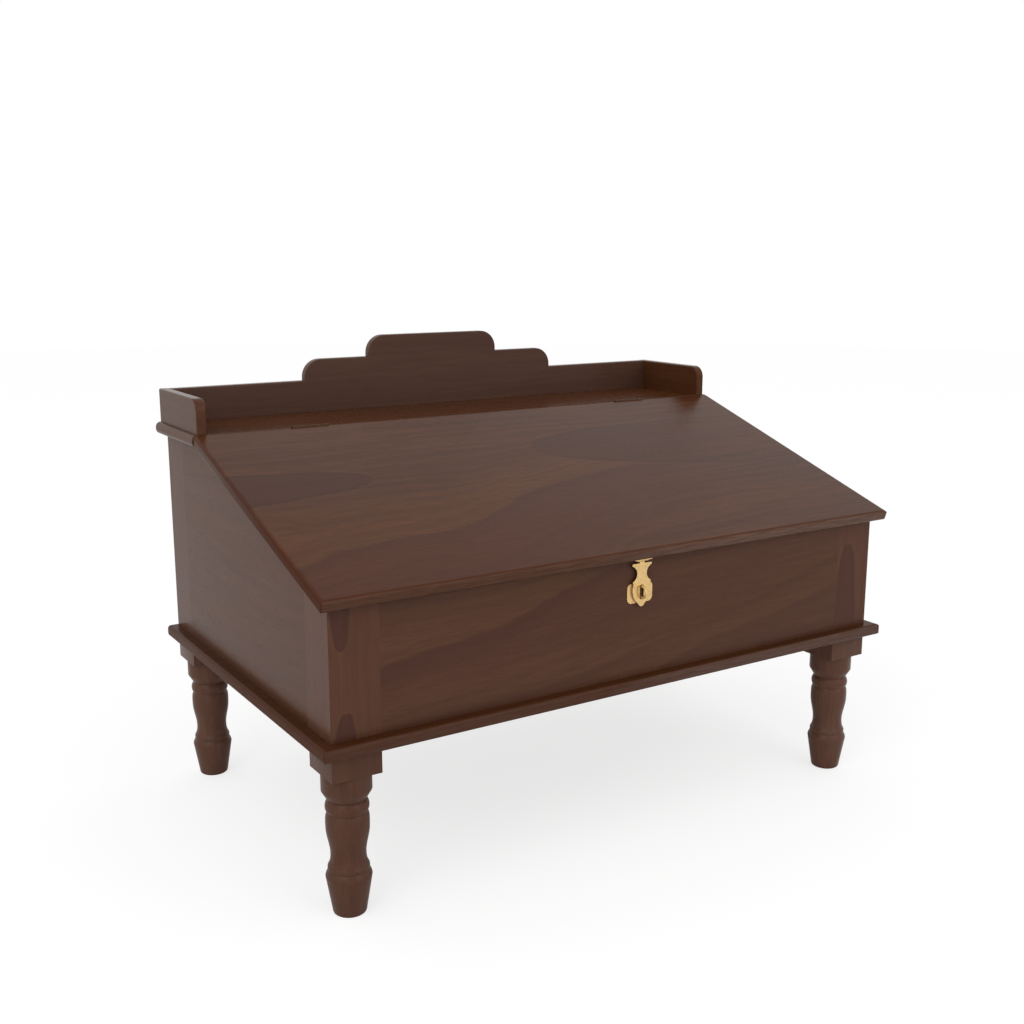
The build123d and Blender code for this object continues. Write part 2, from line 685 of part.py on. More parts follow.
# Hasp strap: one knuckle, square shoulders, a waist, and a pointed oval slotted for the staple
with BuildPart() as hasp_strap:
    strap_origin = (hasp_x, hasp_y + strap_thickness / 2, hasp_z)
    with BuildSketch(Plane(strap_origin, x_dir=(1, 0, 0), z_dir=(0, -1, 0))):
        with BuildLine():
            Polyline(
                (0, 0),
                (hasp_knuckle_width / 2, 0),
                (hasp_knuckle_width / 2, -shoulder_drop),
                (shoulder_half_width, -shoulder_drop),
                (shoulder_half_width, -shoulder_end_drop),
            )
            ThreePointArc(
                (shoulder_half_width, -shoulder_end_drop),
                (strap_neck_half_width, -strap_neck_drop),
                (flare_half_width, -flare_drop),
            )
            Line((flare_half_width, -flare_drop), (nick_half_width, -nick_drop))
            ThreePointArc(
                (nick_half_width, -nick_drop),
                (oval_half_width, -oval_drop),
                (oval_end_half_width, -oval_end_drop),
            )
            Polyline(
                (oval_end_half_width, -oval_end_drop),
                (tip_half_width, -tip_drop),
                (0, -tip_drop),
                (0, 0),
            )
        make_face()
        mirror(about=Plane.YZ)
        with Locations((0, -slot_drop)):
            SlotOverall(2 * slot_half_height, 2 * slot_half_width, rotation=90, mode=Mode.SUBTRACT)
    extrude(amount=strap_thickness)
    with BuildSketch(Plane.YZ.offset(hasp_x - hasp_knuckle_width / 2)):
        with Locations((hasp_y, hasp_z)):
            Circle(hasp_barrel_radius)
    extrude(amount=hasp_knuckle_width)
    with BuildSketch(Plane.YZ.offset(hasp_x - hasp_knuckle_width / 2)):
        with Locations((hasp_y, hasp_z)):
            Circle(hasp_pin_radius + pin_fit)
    extrude(amount=hasp_knuckle_width, mode=Mode.SUBTRACT)
save(hasp_strap.part, "hasp_strap")

# Staple plate: flat on the front panel behind the strap, bored for the staple
with BuildPart() as staple_plate:
    with BuildSketch(Plane((hasp_x, y_front, plate_z), x_dir=(1, 0, 0), z_dir=(0, -1, 0))):
        RectangleRounded(plate_width, plate_height, plate_corner_radius)
        wire_heights = [slot_z - plate_z + offset for offset in (-staple_half_height, staple_half_height)]
        with Locations(*[(0, height) for height in wire_heights]):
            Circle(wire_radius + screw_fit, mode=Mode.SUBTRACT)
    extrude(amount=plate_thickness)
save(staple_plate.part, "staple_plate")

# Staple: a bent wire driven through the plate into the front panel
bend_start = y_front - staple_reach + wire_radius + staple_half_height
with BuildPart() as staple:
    with BuildLine(Plane((hasp_x, 0, slot_z), x_dir=(0, 1, 0), z_dir=(1, 0, 0))) as wire_path:
        Line((y_front + staple_bite, staple_half_height), (bend_start, staple_half_height))
        ThreePointArc(
            (bend_start, staple_half_height),
            (bend_start - staple_half_height, 0),
            (bend_start, -staple_half_height),
        )
        Line((bend_start, -staple_half_height), (y_front + staple_bite, -staple_half_height))
    with BuildSketch(Plane((hasp_x, y_front + staple_bite, slot_z + staple_half_height), z_dir=(0, -1, 0))):
        Circle(wire_radius)
    sweep(path=wire_path.line)
save(staple.part, "staple")
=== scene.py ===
"""Dressed model of a slant-top lap desk with turned legs, a stepped gallery and a brass hasp.

Everything is in metres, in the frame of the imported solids: X to the right, Y to the back, Z up,
with the origin on the floor under the middle of the desk. Boards, hinges and the hasp's leaf keep
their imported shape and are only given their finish. Legs, screws, the hasp's strap and pin, the
staple and its plate are made here in finer form.
"""

import logging
import math
from dataclasses import dataclass, replace
from enum import Enum

import bmesh
import bpy
from mathutils import Matrix, Vector


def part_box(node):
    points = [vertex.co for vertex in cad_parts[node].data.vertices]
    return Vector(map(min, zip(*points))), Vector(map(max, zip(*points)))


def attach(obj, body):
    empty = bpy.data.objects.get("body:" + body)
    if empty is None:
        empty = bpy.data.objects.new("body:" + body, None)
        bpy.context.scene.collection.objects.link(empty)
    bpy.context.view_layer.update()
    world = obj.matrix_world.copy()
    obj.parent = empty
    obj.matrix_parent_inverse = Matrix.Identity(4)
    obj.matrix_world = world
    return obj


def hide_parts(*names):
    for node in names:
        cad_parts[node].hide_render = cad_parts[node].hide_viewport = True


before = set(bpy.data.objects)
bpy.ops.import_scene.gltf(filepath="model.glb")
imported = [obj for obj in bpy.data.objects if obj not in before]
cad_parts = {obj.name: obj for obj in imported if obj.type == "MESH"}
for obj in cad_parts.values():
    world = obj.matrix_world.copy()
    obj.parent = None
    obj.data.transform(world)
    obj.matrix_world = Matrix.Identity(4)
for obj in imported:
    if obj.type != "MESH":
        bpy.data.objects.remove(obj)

LOG = logging.getLogger("lap_desk")
MM = 0.001
PER_MM = (1.0 / MM,) * 3
NOISE_MIDDLE = 0.5
FULL_TURN = 360.0
QUARTER_TURN = math.radians(90.0)
CORNERS = ("front_left", "front_right", "back_left", "back_right")
Colour = tuple[float, float, float]
Point = tuple[float, float]
Signal = bpy.types.NodeSocket


# Node trees


@dataclass(frozen=True)
class Layer:
    """One layer of noise: its changes per millimetre, its octaves, and the range of it that counts."""

    per_mm: tuple[float, float, float]
    octaves: float = 2.0
    rough: float = 0.5
    low: float = 0.0
    high: float = 1.0


class TreeWriter:
    """Writes nodes and links into one shader or geometry tree."""

    def __init__(self, tree: bpy.types.NodeTree) -> None:
        """Keep the tree that is written to."""
        self.tree = tree

    def add(self, kind: str, inputs: dict | None = None, **settings: object) -> bpy.types.Node:
        """Add one node.

        Args:
            kind: The node's class name.
            inputs: Values or source sockets, by input name or place.
            **settings: Properties of the node itself.

        Returns:
            The new node.
        """
        node = self.tree.nodes.new(kind)
        for name, value in settings.items():
            setattr(node, name, value)
        for key, value in (inputs or {}).items():
            if isinstance(value, bpy.types.NodeSocket):
                self.tree.links.new(value, node.inputs[key])
            else:
                node.inputs[key].default_value = value
        return node

    def send(self, result: bpy.types.Node, **signals: Signal) -> None:
        """Link sockets to the named inputs of a tree's output node."""
        for name, signal in signals.items():
            self.tree.links.new(signal, result.inputs[name])

    def shown(self, shader: bpy.types.Node, kind: str = "ShaderNodeOutputMaterial") -> None:
        """Let a shader be what the material or the world shows."""
        self.tree.links.new(shader.outputs[0], self.add(kind).inputs[0])

    def calc(self, operation: str, *values: object, clamp: bool = False) -> Signal:
        """Add a Math node.

        Args:
            operation: The Math node's operation.
            *values: Numbers or sockets, in the node's order.
            clamp: Whether the result stays between 0 and 1.

        Returns:
            The result's socket.
        """
        node = self.add("ShaderNodeMath", dict(enumerate(values)), operation=operation, use_clamp=clamp)
        return node.outputs[0]

    def times(self, first: object, *others: object) -> Signal:
        """Multiply a number or socket by others, one after another.

        Args:
            first: The number or socket that is multiplied.
            *others: What it is multiplied by.

        Returns:
            The product.
        """
        for value in others:
            first = self.calc("MULTIPLY", first, value)
        return first

    def vector(self, operation: str, *values: object, out: int = 0) -> Signal:
        """Add a Vector Math node.

        Args:
            operation: The Vector Math node's operation.
            *values: Vectors or sockets, in the node's order.
            out: The output that is wanted.

        Returns:
            The result's socket.
        """
        node = self.add("ShaderNodeVectorMath", dict(enumerate(values)), operation=operation)
        return node.outputs[out]

    def axes(self, vector: Signal) -> bpy.types.NodeOutputs:
        """Split a vector into its X, Y and Z."""
        return self.add("ShaderNodeSeparateXYZ", {0: vector}).outputs

    def point(self, parts: dict[int, object]) -> Signal:
        """Make a vector from some of its X, Y and Z, by their places."""
        return self.add("ShaderNodeCombineXYZ", parts).outputs[0]

    def together(self, *parts: Signal) -> Signal:
        """Join geometries.

        Args:
            *parts: The geometries' sockets.

        Returns:
            The joined geometry's socket.
        """
        join = self.add("GeometryNodeJoinGeometry")
        for part in parts:
            self.tree.links.new(part, join.inputs[0])
        return join.outputs[0]

    def ramp(self, value: Signal, low: object, high: object, start: float = 0.0, end: float = 1.0) -> Signal:
        """Ease a value from one range to another.

        Args:
            value: The socket to ease.
            low: The value that gives start.
            high: The value that gives end.
            start: The result at low.
            end: The result at high.

        Returns:
            The eased value's socket.
        """
        inputs = {"Value": value, "From Min": low, "From Max": high, "To Min": start, "To Max": end}
        node = self.add("ShaderNodeMapRange", inputs, interpolation_type="SMOOTHSTEP")
        return node.outputs["Result"]

    def mix(self, factor: object, first: object, second: object) -> Signal:
        """Mix two colours.

        Args:
            factor: The share of the second colour.
            first: The first colour or its socket.
            second: The second colour or its socket.

        Returns:
            The mixed colour's socket.
        """
        values = {0: factor, 6: with_alpha(first), 7: with_alpha(second)}
        return self.add("ShaderNodeMix", values, data_type="RGBA").outputs[2]

    def noise(self, vector: Signal, layer: Layer) -> Signal:
        """Read a layer of noise at a place in millimetres.

        Args:
            vector: The place.
            layer: The layer.

        Returns:
            The noise value's socket.
        """
        place = self.vector("MULTIPLY", vector, layer.per_mm)
        inputs = {"Vector": place, "Scale": 1.0, "Detail": layer.octaves, "Roughness": layer.rough}
        return self.add("ShaderNodeTexNoise", inputs).outputs[0]

    def sway(self, vector: Signal, layer: Layer, reach: float) -> Signal:
        """Read a layer of noise as a shift to both sides, with a full reach from end to end."""
        return self.times(self.calc("SUBTRACT", self.noise(vector, layer), NOISE_MIDDLE), reach)


def with_alpha(colour: object) -> object:
    """Give a plain colour its alpha, and leave a socket as it is."""
    return colour if isinstance(colour, bpy.types.NodeSocket) else (*colour, 1.0)


def emptied(owner: bpy.types.Material | bpy.types.World) -> TreeWriter:
    """Clear the node tree of a material or a world, and start to write it.

    Args:
        owner: The material or world.

    Returns:
        The tree's writer.
    """
    owner.use_nodes = True
    owner.node_tree.nodes.clear()
    return TreeWriter(owner.node_tree)


class Socket(Enum):
    """The kinds of socket that the shader groups and geometry trees use."""

    NUMBER = "NodeSocketFloat"
    COUNT = "NodeSocketInt"
    VECTOR = "NodeSocketVector"
    GEOMETRY = "NodeSocketGeometry"
    MATERIAL = "NodeSocketMaterial"


@dataclass(frozen=True)
class Port:
    """One named input or output of a node tree."""

    name: str
    kind: Socket
    default: object = None


def numbers(**defaults: float) -> list[Port]:
    """List number inputs with their defaults, with spaces for the underscores in their names."""
    return [Port(name.replace("_", " "), Socket.NUMBER, value) for name, value in defaults.items()]


def new_tree(
    name: str, kind: str, inputs: list[Port], outputs: list[Port]
) -> tuple[TreeWriter, dict[str, Signal], bpy.types.Node]:
    """Start a node group with named sockets.

    Args:
        name: The group's name.
        kind: The tree's class name.
        inputs: The group's inputs.
        outputs: The group's outputs.

    Returns:
        The writer, the sockets of the inputs by name, and the group's output node.
    """
    tree = bpy.data.node_groups.new(name, kind)
    for ports, side in ((inputs, "INPUT"), (outputs, "OUTPUT")):
        for port in ports:
            socket = tree.interface.new_socket(port.name, in_out=side, socket_type=port.kind.value)
            if port.default is not None:
                socket.default_value = port.default
    writer = TreeWriter(tree)
    source = writer.add("NodeGroupInput")
    return writer, {port.name: source.outputs[port.name] for port in inputs}, writer.add("NodeGroupOutput")


# Shader groups that several finishes share


GRAIN = {
    "Tone": Layer((0.0035, 0.030, 0.030), 2.0, 0.50, low=0.30, high=0.70),
    "Streak": Layer((0.005, 0.16, 0.16), 4.0, 0.62, low=0.34, high=0.66),
    "Fibre": Layer((0.035, 0.55, 0.55), 3.0, 0.60, low=0.34, high=0.66),
    "Pores": Layer((0.09, 1.5, 1.5), 2.0, 0.50, low=0.56, high=0.72),
}
FLAME_BANDS = ("Line", "Glow", "Shade")
PATINA = {
    "Tarnish": Layer((0.35, 0.35, 0.22), 4.0, 0.60, low=0.42, high=0.72),
    "Scratches": Layer((9.0, 9.0, 0.7), 2.0, 0.50, low=0.35, high=0.70),
}


def grain_group() -> bpy.types.NodeTree:
    """Build the grain that every board shares, in millimetres, with X along the grain.

    Returns:
        The shader group.
    """
    lattice_turn = (math.radians(36.0), 0.0, 0.0)
    shift_along, shift_across = 137.0, 71.0
    closed_height, fibre_height = 0.6, 0.4
    inputs = [Port("Vector", Socket.VECTOR), Port("Straight", Socket.VECTOR), *numbers(Seed=0.0)]
    outputs = [Port(name, Socket.NUMBER) for name in (*GRAIN, "Height")]
    w, source, result = new_tree("wood_grain", "ShaderNodeTree", inputs, outputs)
    seed = source["Seed"]
    shift = w.point({0: w.times(seed, shift_along), 1: w.times(seed, shift_across), 2: seed})
    lattice = {"Rotation": lattice_turn, "Location": shift}
    bent = w.add("ShaderNodeMapping", lattice | {"Vector": source["Vector"]}).outputs[0]
    straight = w.add("ShaderNodeMapping", lattice | {"Vector": source["Straight"]}).outputs[0]
    places = {"Tone": bent, "Streak": bent, "Fibre": straight, "Pores": straight}
    noises = {name: w.noise(places[name], layer) for name, layer in GRAIN.items()}
    eased = {name: w.ramp(noises[name], layer.low, layer.high) for name, layer in GRAIN.items()}
    closed = w.times(w.calc("SUBTRACT", 1.0, eased["Pores"]), closed_height)
    w.send(result, **eased, Height=w.calc("ADD", closed, w.times(noises["Fibre"], fibre_height)))
    return w.tree


def tongue_group() -> bpy.types.NodeTree:
    """Build a tongue of darker heartwood that widens behind its tip, with its outline and rim.

    Returns:
        The shader group.
    """
    wander, wander_reach = Layer((0.02, 0.05, 0.05)), 4.0
    ragged, ragged_reach = Layer((0.08, 0.5, 0.5)), 2.4
    soft, outline_depth, outline_edge = 1.0, 7.0, 0.5
    kept_share, rim_start = 0.35, 0.1
    inputs = [Port("Vector", Socket.VECTOR), Port("Tip", Socket.VECTOR)]
    inputs += numbers(Aim=1.0, Spread=4.0, Power=0.4, Lean=0.0, Fade=400.0, Rim_Width=7.0)
    outputs = [Port(name, Socket.NUMBER) for name in ("Mask", "Outline", "Rim")]
    w, source, result = new_tree("heart_tongue", "ShaderNodeTree", inputs, outputs)
    place = source["Vector"]
    shift = w.calc("ADD", w.sway(place, wander, wander_reach), w.sway(place, ragged, ragged_reach))
    away = w.axes(w.vector("SUBTRACT", place, source["Tip"]))
    behind = w.times(away[0], source["Aim"])
    across = w.calc("ABSOLUTE", w.calc("SUBTRACT", away[1], w.times(away[0], source["Lean"])))
    half = w.times(w.calc("POWER", w.calc("MAXIMUM", behind, 0.0), source["Power"]), source["Spread"])
    ahead = w.calc("MAXIMUM", w.times(behind, -1.0), 0.0)
    beyond = w.calc("ADD", w.calc("ADD", w.calc("SUBTRACT", across, half), ahead), shift)
    mask = w.ramp(beyond, soft, -soft)
    kept = w.ramp(w.calc("DIVIDE", behind, source["Fade"]), 1.0, kept_share)
    outer = w.calc("SUBTRACT", 1.0, w.ramp(w.calc("DIVIDE", beyond, source["Rim Width"]), rim_start, 1.0))
    outline = w.times(mask, w.ramp(beyond, -outline_depth, -outline_edge), kept)
    rim = w.times(w.calc("SUBTRACT", outer, mask, clamp=True), kept)
    w.send(result, Mask=w.times(mask, kept), Outline=outline, Rim=rim)
    return w.tree


def flame_group() -> bpy.types.NodeTree:
    """Build the bands beside a long grain line, from the distance past it.

    Returns:
        The shader group.
    """
    ragged, ragged_reach = Layer((0.03, 0.35, 0.35), 3.0), 7.0
    line_start, line_full, line_fade, shade_kept = -1.5, 2.5, 0.2, 0.3
    inputs = [Port("Vector", Socket.VECTOR)]
    inputs += numbers(Distance=0.0, Line_Width=12.0, Glow_Width=45.0, Shade_Width=130.0)
    outputs = [Port(name, Socket.NUMBER) for name in FLAME_BANDS]
    w, source, result = new_tree("flame_line", "ShaderNodeTree", inputs, outputs)
    past = w.calc("ADD", source["Distance"], w.sway(source["Vector"], ragged, ragged_reach))
    line, glow, shade = (w.calc("DIVIDE", past, source[f"{name} Width"]) for name in FLAME_BANDS)
    begun = w.ramp(past, line_start, line_full)
    w.send(
        result,
        Line=w.calc("SUBTRACT", begun, w.ramp(line, line_fade, 1.0), clamp=True),
        Glow=w.calc("SUBTRACT", w.ramp(glow, -1.0, 0.0), begun, clamp=True),
        Shade=w.times(begun, w.ramp(shade, 1.0, shade_kept)),
    )
    return w.tree


def edges_group() -> bpy.types.NodeTree:
    """Build a board's edge masks: its ends, its front edge, and how far right and how far back a place is.

    Returns:
        The shader group.
    """
    cloud, cloud_reach = Layer((0.02, 0.1, 0.25)), 160.0
    inner, outer = 2.2, 0.4
    inputs = [Port("Vector", Socket.VECTOR), *numbers(Half_Length=300.0, Front=-200.0)]
    inputs += numbers(Change_Start=-100.0, Change_End=100.0, Back_Start=40.0, Back_End=260.0)
    outputs = [Port(name, Socket.NUMBER) for name in ("Ends", "Front", "Across", "Back")]
    w, source, result = new_tree("board_edges", "ShaderNodeTree", inputs, outputs)
    axes = w.axes(source["Vector"])
    past_end = w.calc("SUBTRACT", w.calc("ABSOLUTE", axes[0]), source["Half Length"])
    inside_front = w.calc("SUBTRACT", axes[1], source["Front"])
    across = w.calc("ADD", axes[0], w.sway(source["Vector"], cloud, cloud_reach))
    w.send(
        result,
        Ends=w.ramp(past_end, -inner, -outer),
        Front=w.ramp(inside_front, inner, outer),
        Across=w.ramp(across, source["Change Start"], source["Change End"]),
        Back=w.ramp(inside_front, source["Back Start"], source["Back End"]),
    )
    return w.tree


def patina_group() -> bpy.types.NodeTree:
    """Build the handling marks of a metal fitting: a soft tarnish, fine scratches and their height.

    Returns:
        The shader group.
    """
    scratch_height = 0.5
    outputs = [Port(name, Socket.NUMBER) for name in (*PATINA, "Height")]
    w, source, result = new_tree("metal_patina", "ShaderNodeTree", [Port("Vector", Socket.VECTOR)], outputs)
    noises = {name: w.noise(source["Vector"], layer) for name, layer in PATINA.items()}
    eased = {name: w.ramp(noises[name], layer.low, layer.high) for name, layer in PATINA.items()}
    w.send(result, **eased, Height=w.times(noises["Scratches"], scratch_height))
    return w.tree


class Groups:
    """The shader groups, each built once."""

    _built: dict[str, bpy.types.NodeTree] = {}
    _makers = {
        "wood_grain": grain_group,
        "heart_tongue": tongue_group,
        "flame_line": flame_group,
        "board_edges": edges_group,
        "metal_patina": patina_group,
    }

    @classmethod
    def get(cls, name: str) -> bpy.types.NodeTree:
        """Return a shader group by its name, building it the first time.

        Args:
            name: The group's name.

        Returns:
            The shader group.
        """
        if name not in cls._built:
            cls._built[name] = cls._makers[name]()
        return cls._built[name]

    @classmethod
    def put(cls, w: TreeWriter, name: str, **inputs: object) -> bpy.types.NodeOutputs:
        """Place a shader group in a material.

        Args:
            w: The material's writer.
            name: The group's name.
            **inputs: Values or sockets, by input name with underscores for spaces.

        Returns:
            The group's outputs.
        """
        named = {key.replace("_", " "): value for key, value in inputs.items()}
        return w.add("ShaderNodeGroup", named, node_tree=cls.get(name)).outputs


# Finishes


class Lay(Enum):
    """How a board lies: the turns in degrees that bring its grain to X and its shown face to XY."""

    FLAT = (0.0, 0.0, 0.0)
    UPRIGHT = (-90.0, 0.0, 0.0)
    SIDEWAYS = (-90.0, -90.0, 0.0)
    STANDING = (-90.0, 0.0, -90.0)


@dataclass(frozen=True)
class Tongue:
    """One tongue of heartwood on a board, in the board's own millimetres."""

    tip: Point
    aim: float
    spread: float
    power: float = 0.40
    lean: float = 0.0
    strength: float = 0.85
    fade: float = 900.0
    rim: float = 0.25
    rim_width: float = 7.0


@dataclass(frozen=True)
class Flame:
    """One long grain line on a board: where it runs, and how strong its bands are."""

    points: tuple[Point, ...]
    line: float = 0.5
    glow: float = 0.5
    shade: float = 0.5
    line_width: float = 12.0
    glow_width: float = 45.0
    shade_width: float = 130.0
    fade_start: float = 1000.0
    fade_end: float = 1001.0
    draw: float = 1.0

    def bands(self) -> tuple[tuple[str, str, float], ...]:
        """Name each band's output, its shade of wood and its strength, in the order they are laid."""
        return (("Glow", "rim", self.glow), ("Shade", "shade", self.shade), ("Line", "heart", self.line))


@dataclass(frozen=True)
class WoodShades:
    """The shades of one stained wood, as shares of its mean colour."""

    mean: Colour
    pale: Colour = (1.13, 1.16, 1.14)
    dark: Colour = (0.93, 0.91, 0.93)
    streak: Colour = (0.72, 0.68, 0.72)
    heart: Colour = (0.66, 0.60, 0.74)
    rim: Colour = (1.24, 1.30, 1.02)
    shade: Colour = (0.88, 0.76, 0.92)
    pore: Colour = (0.45, 0.42, 0.50)
    contrast: float = 1.0

    def tint(self, name: str) -> Colour:
        """Give one shade as a colour, with the grain's shades set further from the mean by the contrast.

        Args:
            name: The shade's name.

        Returns:
            The colour.
        """
        spread = self.contrast if name in ("pale", "dark", "streak", "pore") else 1.0
        shares = [1.0 + (share - 1.0) * spread for share in getattr(self, name)]
        return tuple(mean * share for mean, share in zip(self.mean, shares))


@dataclass(frozen=True)
class EdgeTones:
    """How a board's edges differ from its face: the colours of its front edge and ends, and their polish. The
    front edge's colours are a painted sheen, and so is an end colour that turns greyer towards the back.
    """

    half_length: float
    front: float
    left: Colour
    right: Colour
    end: Colour
    end_back: Colour
    change: Point = (-40.0, 80.0)
    back: Point = (150.0, 390.0)
    end_roughness: float = 0.45
    back_roughness: float = 0.45
    strength: float = 0.9


@dataclass(frozen=True)
class WoodFinish:
    """A stained and varnished wood, laid out for one board or one kind of board."""

    name: str
    mean: Colour
    lay: Lay = Lay.FLAT
    tilt: float = 0.0
    origin: tuple[float, float, float] = (0.0, 0.0, 0.0)
    seed: float = 0.0
    tone: float = 0.5
    streak: float = 0.45
    fibre: float = 0.34
    pores: float = 0.30
    waviness: float = 7.0
    tongues: tuple[Tongue, ...] = ()
    flames: tuple[Flame, ...] = ()
    edges: EdgeTones | None = None
    contrast: float = 1.0
    roughness: float = 0.24
    gloss: float = 0.11
    outline: float = 0.22
    pore_roughness: float = 0.09
    tone_roughness: float = 0.05
    bump: float = 0.16
    bump_height: float = 0.2 * MM

    def board_vector(self, w: TreeWriter) -> Signal:
        """Lay the board's own millimetres over the object, with X along the grain.

        Args:
            w: The material's writer.

        Returns:
            The vector's socket.
        """
        turn = [math.radians(angle) for angle in self.lay.value]
        turn[0] -= self.tilt
        place = w.add("ShaderNodeTexCoord").outputs["Object"]
        inputs = {"Vector": place, "Rotation": turn, "Scale": PER_MM, "Location": self.origin}
        return w.add("ShaderNodeMapping", inputs).outputs[0]

    def flame_distance(self, w: TreeWriter, board: Signal, flame: Flame) -> Signal:
        """Measure how far a place lies past a flame line, across the board.

        Args:
            w: The material's writer.
            board: The board's vector.
            flame: The line.

        Returns:
            The distance's socket, in millimetres.
        """
        low, high = flame.points[0][0], flame.points[-1][0]
        bottom = min(y for _, y in flame.points)
        top = max(y for _, y in flame.points)
        axes = w.axes(board)
        share = w.add("ShaderNodeMapRange", {"Value": axes[0], "From Min": low, "From Max": high})
        line = w.add("ShaderNodeFloatCurve", {"Value": share.outputs["Result"]})
        curve = line.mapping.curves[0]
        places = [((x - low) / (high - low), (y - bottom) / (top - bottom)) for x, y in flame.points]
        for point, place in zip(curve.points, (places[0], places[-1])):
            point.location = place
        for place in places[1:-1]:
            curve.points.new(*place)
        line.mapping.update()
        height = w.calc("ADD", w.times(line.outputs[0], top - bottom), bottom)
        return w.calc("SUBTRACT", height, axes[1])

    def bent_vector(self, w: TreeWriter, board: Signal, distances: list[Signal]) -> Signal:
        """Bend the grain gently, and draw it along the first flame line.

        Args:
            w: The material's writer.
            board: The board's vector.
            distances: The distances past the flame lines.

        Returns:
            The bent vector's socket.
        """
        slow, slow_reach = Layer((0.0035, 0.009, 0.009), 1.0), 4.0
        drawn_from, drawn_full, let_go, free, last_share = -90.0, -5.0, 20.0, 190.0, 0.45
        bent = w.vector("ADD", board, w.point({1: w.sway(board, slow, slow_reach * self.waviness)}))
        if not distances:
            return bent
        flame = self.flames[0]
        middle = sum(y for _, y in flame.points) / len(flame.points)
        drift = w.calc("SUBTRACT", w.calc("ADD", distances[0], w.axes(board)[1]), middle)
        before = w.ramp(distances[0], drawn_from, drawn_full)
        after = w.ramp(distances[0], let_go, free, 1.0, last_share)
        return w.vector("ADD", bent, w.point({1: w.times(drift, before, after, -flame.draw)}))

    def figure(
        self, w: TreeWriter, board: Signal, distances: list[Signal], shades: WoodShades, colour: Signal
    ) -> Signal:
        """Add the flame lines and the tongues of heartwood to the colour.

        Args:
            w: The material's writer.
            board: The board's vector.
            distances: The distances past the flame lines.
            shades: The shades of the wood.
            colour: The colour so far.

        Returns:
            The colour with its figure.
        """
        along = w.axes(board)[0]
        for flame, distance in zip(self.flames, distances):
            widths = {f"{name}_Width": getattr(flame, f"{name.lower()}_width") for name in FLAME_BANDS}
            bands = Groups.put(w, "flame_line", Distance=distance, Vector=board, **widths)
            fading = w.ramp(along, flame.fade_start, flame.fade_end, 1.0, 0.0)
            for output, tint, strength in flame.bands():
                colour = w.mix(w.times(bands[output], fading, strength), colour, shades.tint(tint))
        for tongue in self.tongues:
            heart = Groups.put(
                w,
                "heart_tongue",
                Vector=board,
                Tip=(*tongue.tip, 0.0),
                Aim=tongue.aim,
                Spread=tongue.spread,
                Power=tongue.power,
                Lean=tongue.lean,
                Fade=tongue.fade,
                Rim_Width=tongue.rim_width,
            )
            colour = w.mix(w.times(heart["Rim"], tongue.rim), colour, shades.tint("rim"))
            colour = w.mix(w.times(heart["Mask"], tongue.strength), colour, shades.tint("heart"))
            colour = w.mix(w.times(heart["Outline"], self.outline), colour, shades.tint("pore"))
        return colour

    def edged(self, w: TreeWriter, board: Signal, colour: Signal) -> tuple[Signal, Signal]:
        """Paint a sheen on the board's front edge, change the colour of its ends, and the roughness of its
        ends.

        Args:
            w: The material's writer.
            board: The board's vector.
            colour: The colour so far.

        Returns:
            The changed colour and the base roughness.
        """
        tones = self.edges
        masks = Groups.put(
            w,
            "board_edges",
            Vector=board,
            Half_Length=tones.half_length,
            Front=tones.front,
            Change_Start=tones.change[0],
            Change_End=tones.change[1],
            Back_Start=tones.back[0],
            Back_End=tones.back[1],
        )
        # The front edge's colour is a painted sheen, blended from the left colour to the right one.
        front_sheen = w.mix(masks["Across"], tones.left, tones.right)
        colour = w.mix(w.times(masks["Front"], tones.strength), colour, front_sheen)
        end = w.mix(masks["Back"], tones.end, tones.end_back)
        colour = w.mix(w.times(masks["Ends"], tones.strength), colour, end)
        further = w.times(masks["Back"], tones.back_roughness - tones.end_roughness)
        change = w.calc("ADD", further, tones.end_roughness - self.roughness)
        return colour, w.calc("ADD", w.times(masks["Ends"], change), self.roughness)

    def build(self) -> bpy.types.Material:
        """Make the material.

        Returns:
            The finished material.
        """
        material = bpy.data.materials.new(self.name)
        w = emptied(material)
        shades = WoodShades(self.mean, contrast=self.contrast)
        board = self.board_vector(w)
        distances = [self.flame_distance(w, board, flame) for flame in self.flames]
        bent = self.bent_vector(w, board, distances)
        grain = Groups.put(w, "wood_grain", Vector=bent, Straight=board, Seed=self.seed)
        tone = w.times(w.calc("SUBTRACT", grain["Tone"], NOISE_MIDDLE), self.tone)
        colour = w.mix(w.calc("ADD", tone, NOISE_MIDDLE), shades.tint("dark"), shades.tint("pale"))
        colour = w.mix(w.times(grain["Streak"], self.streak), colour, shades.tint("streak"))
        colour = self.figure(w, board, distances, shades, colour)
        rough = self.roughness
        if self.edges:
            colour, rough = self.edged(w, board, colour)
        colour = w.mix(w.times(grain["Fibre"], self.fibre), colour, shades.tint("streak"))
        colour = w.mix(w.times(grain["Pores"], self.pores), colour, shades.tint("pore"))
        pitted = w.times(grain["Pores"], self.pore_roughness)
        uneven = w.calc("ADD", pitted, w.times(grain["Tone"], self.tone_roughness))
        height = {"Strength": self.bump, "Distance": self.bump_height, "Height": grain["Height"]}
        surface = {
            "Base Color": colour,
            "Roughness": w.calc("ADD", uneven, rough),
            "Normal": w.add("ShaderNodeBump", height).outputs[0],
            "Specular IOR Level": self.gloss,
        }
        w.shown(w.add("ShaderNodeBsdfPrincipled", surface))
        return material


@dataclass(frozen=True)
class PaintedShadeOval:
    """An oval of painted shadow on a fitting's face, where the strap over it shades it, in the object's
    millimetres across and up.
    """

    middle: Point
    half_width: float = 4.6
    half_height: float = 8.0
    strength: float = 0.9
    outer: float = 1.15
    inner: float = 0.8
    shade: Colour = (0.13, 0.07, 0.03)


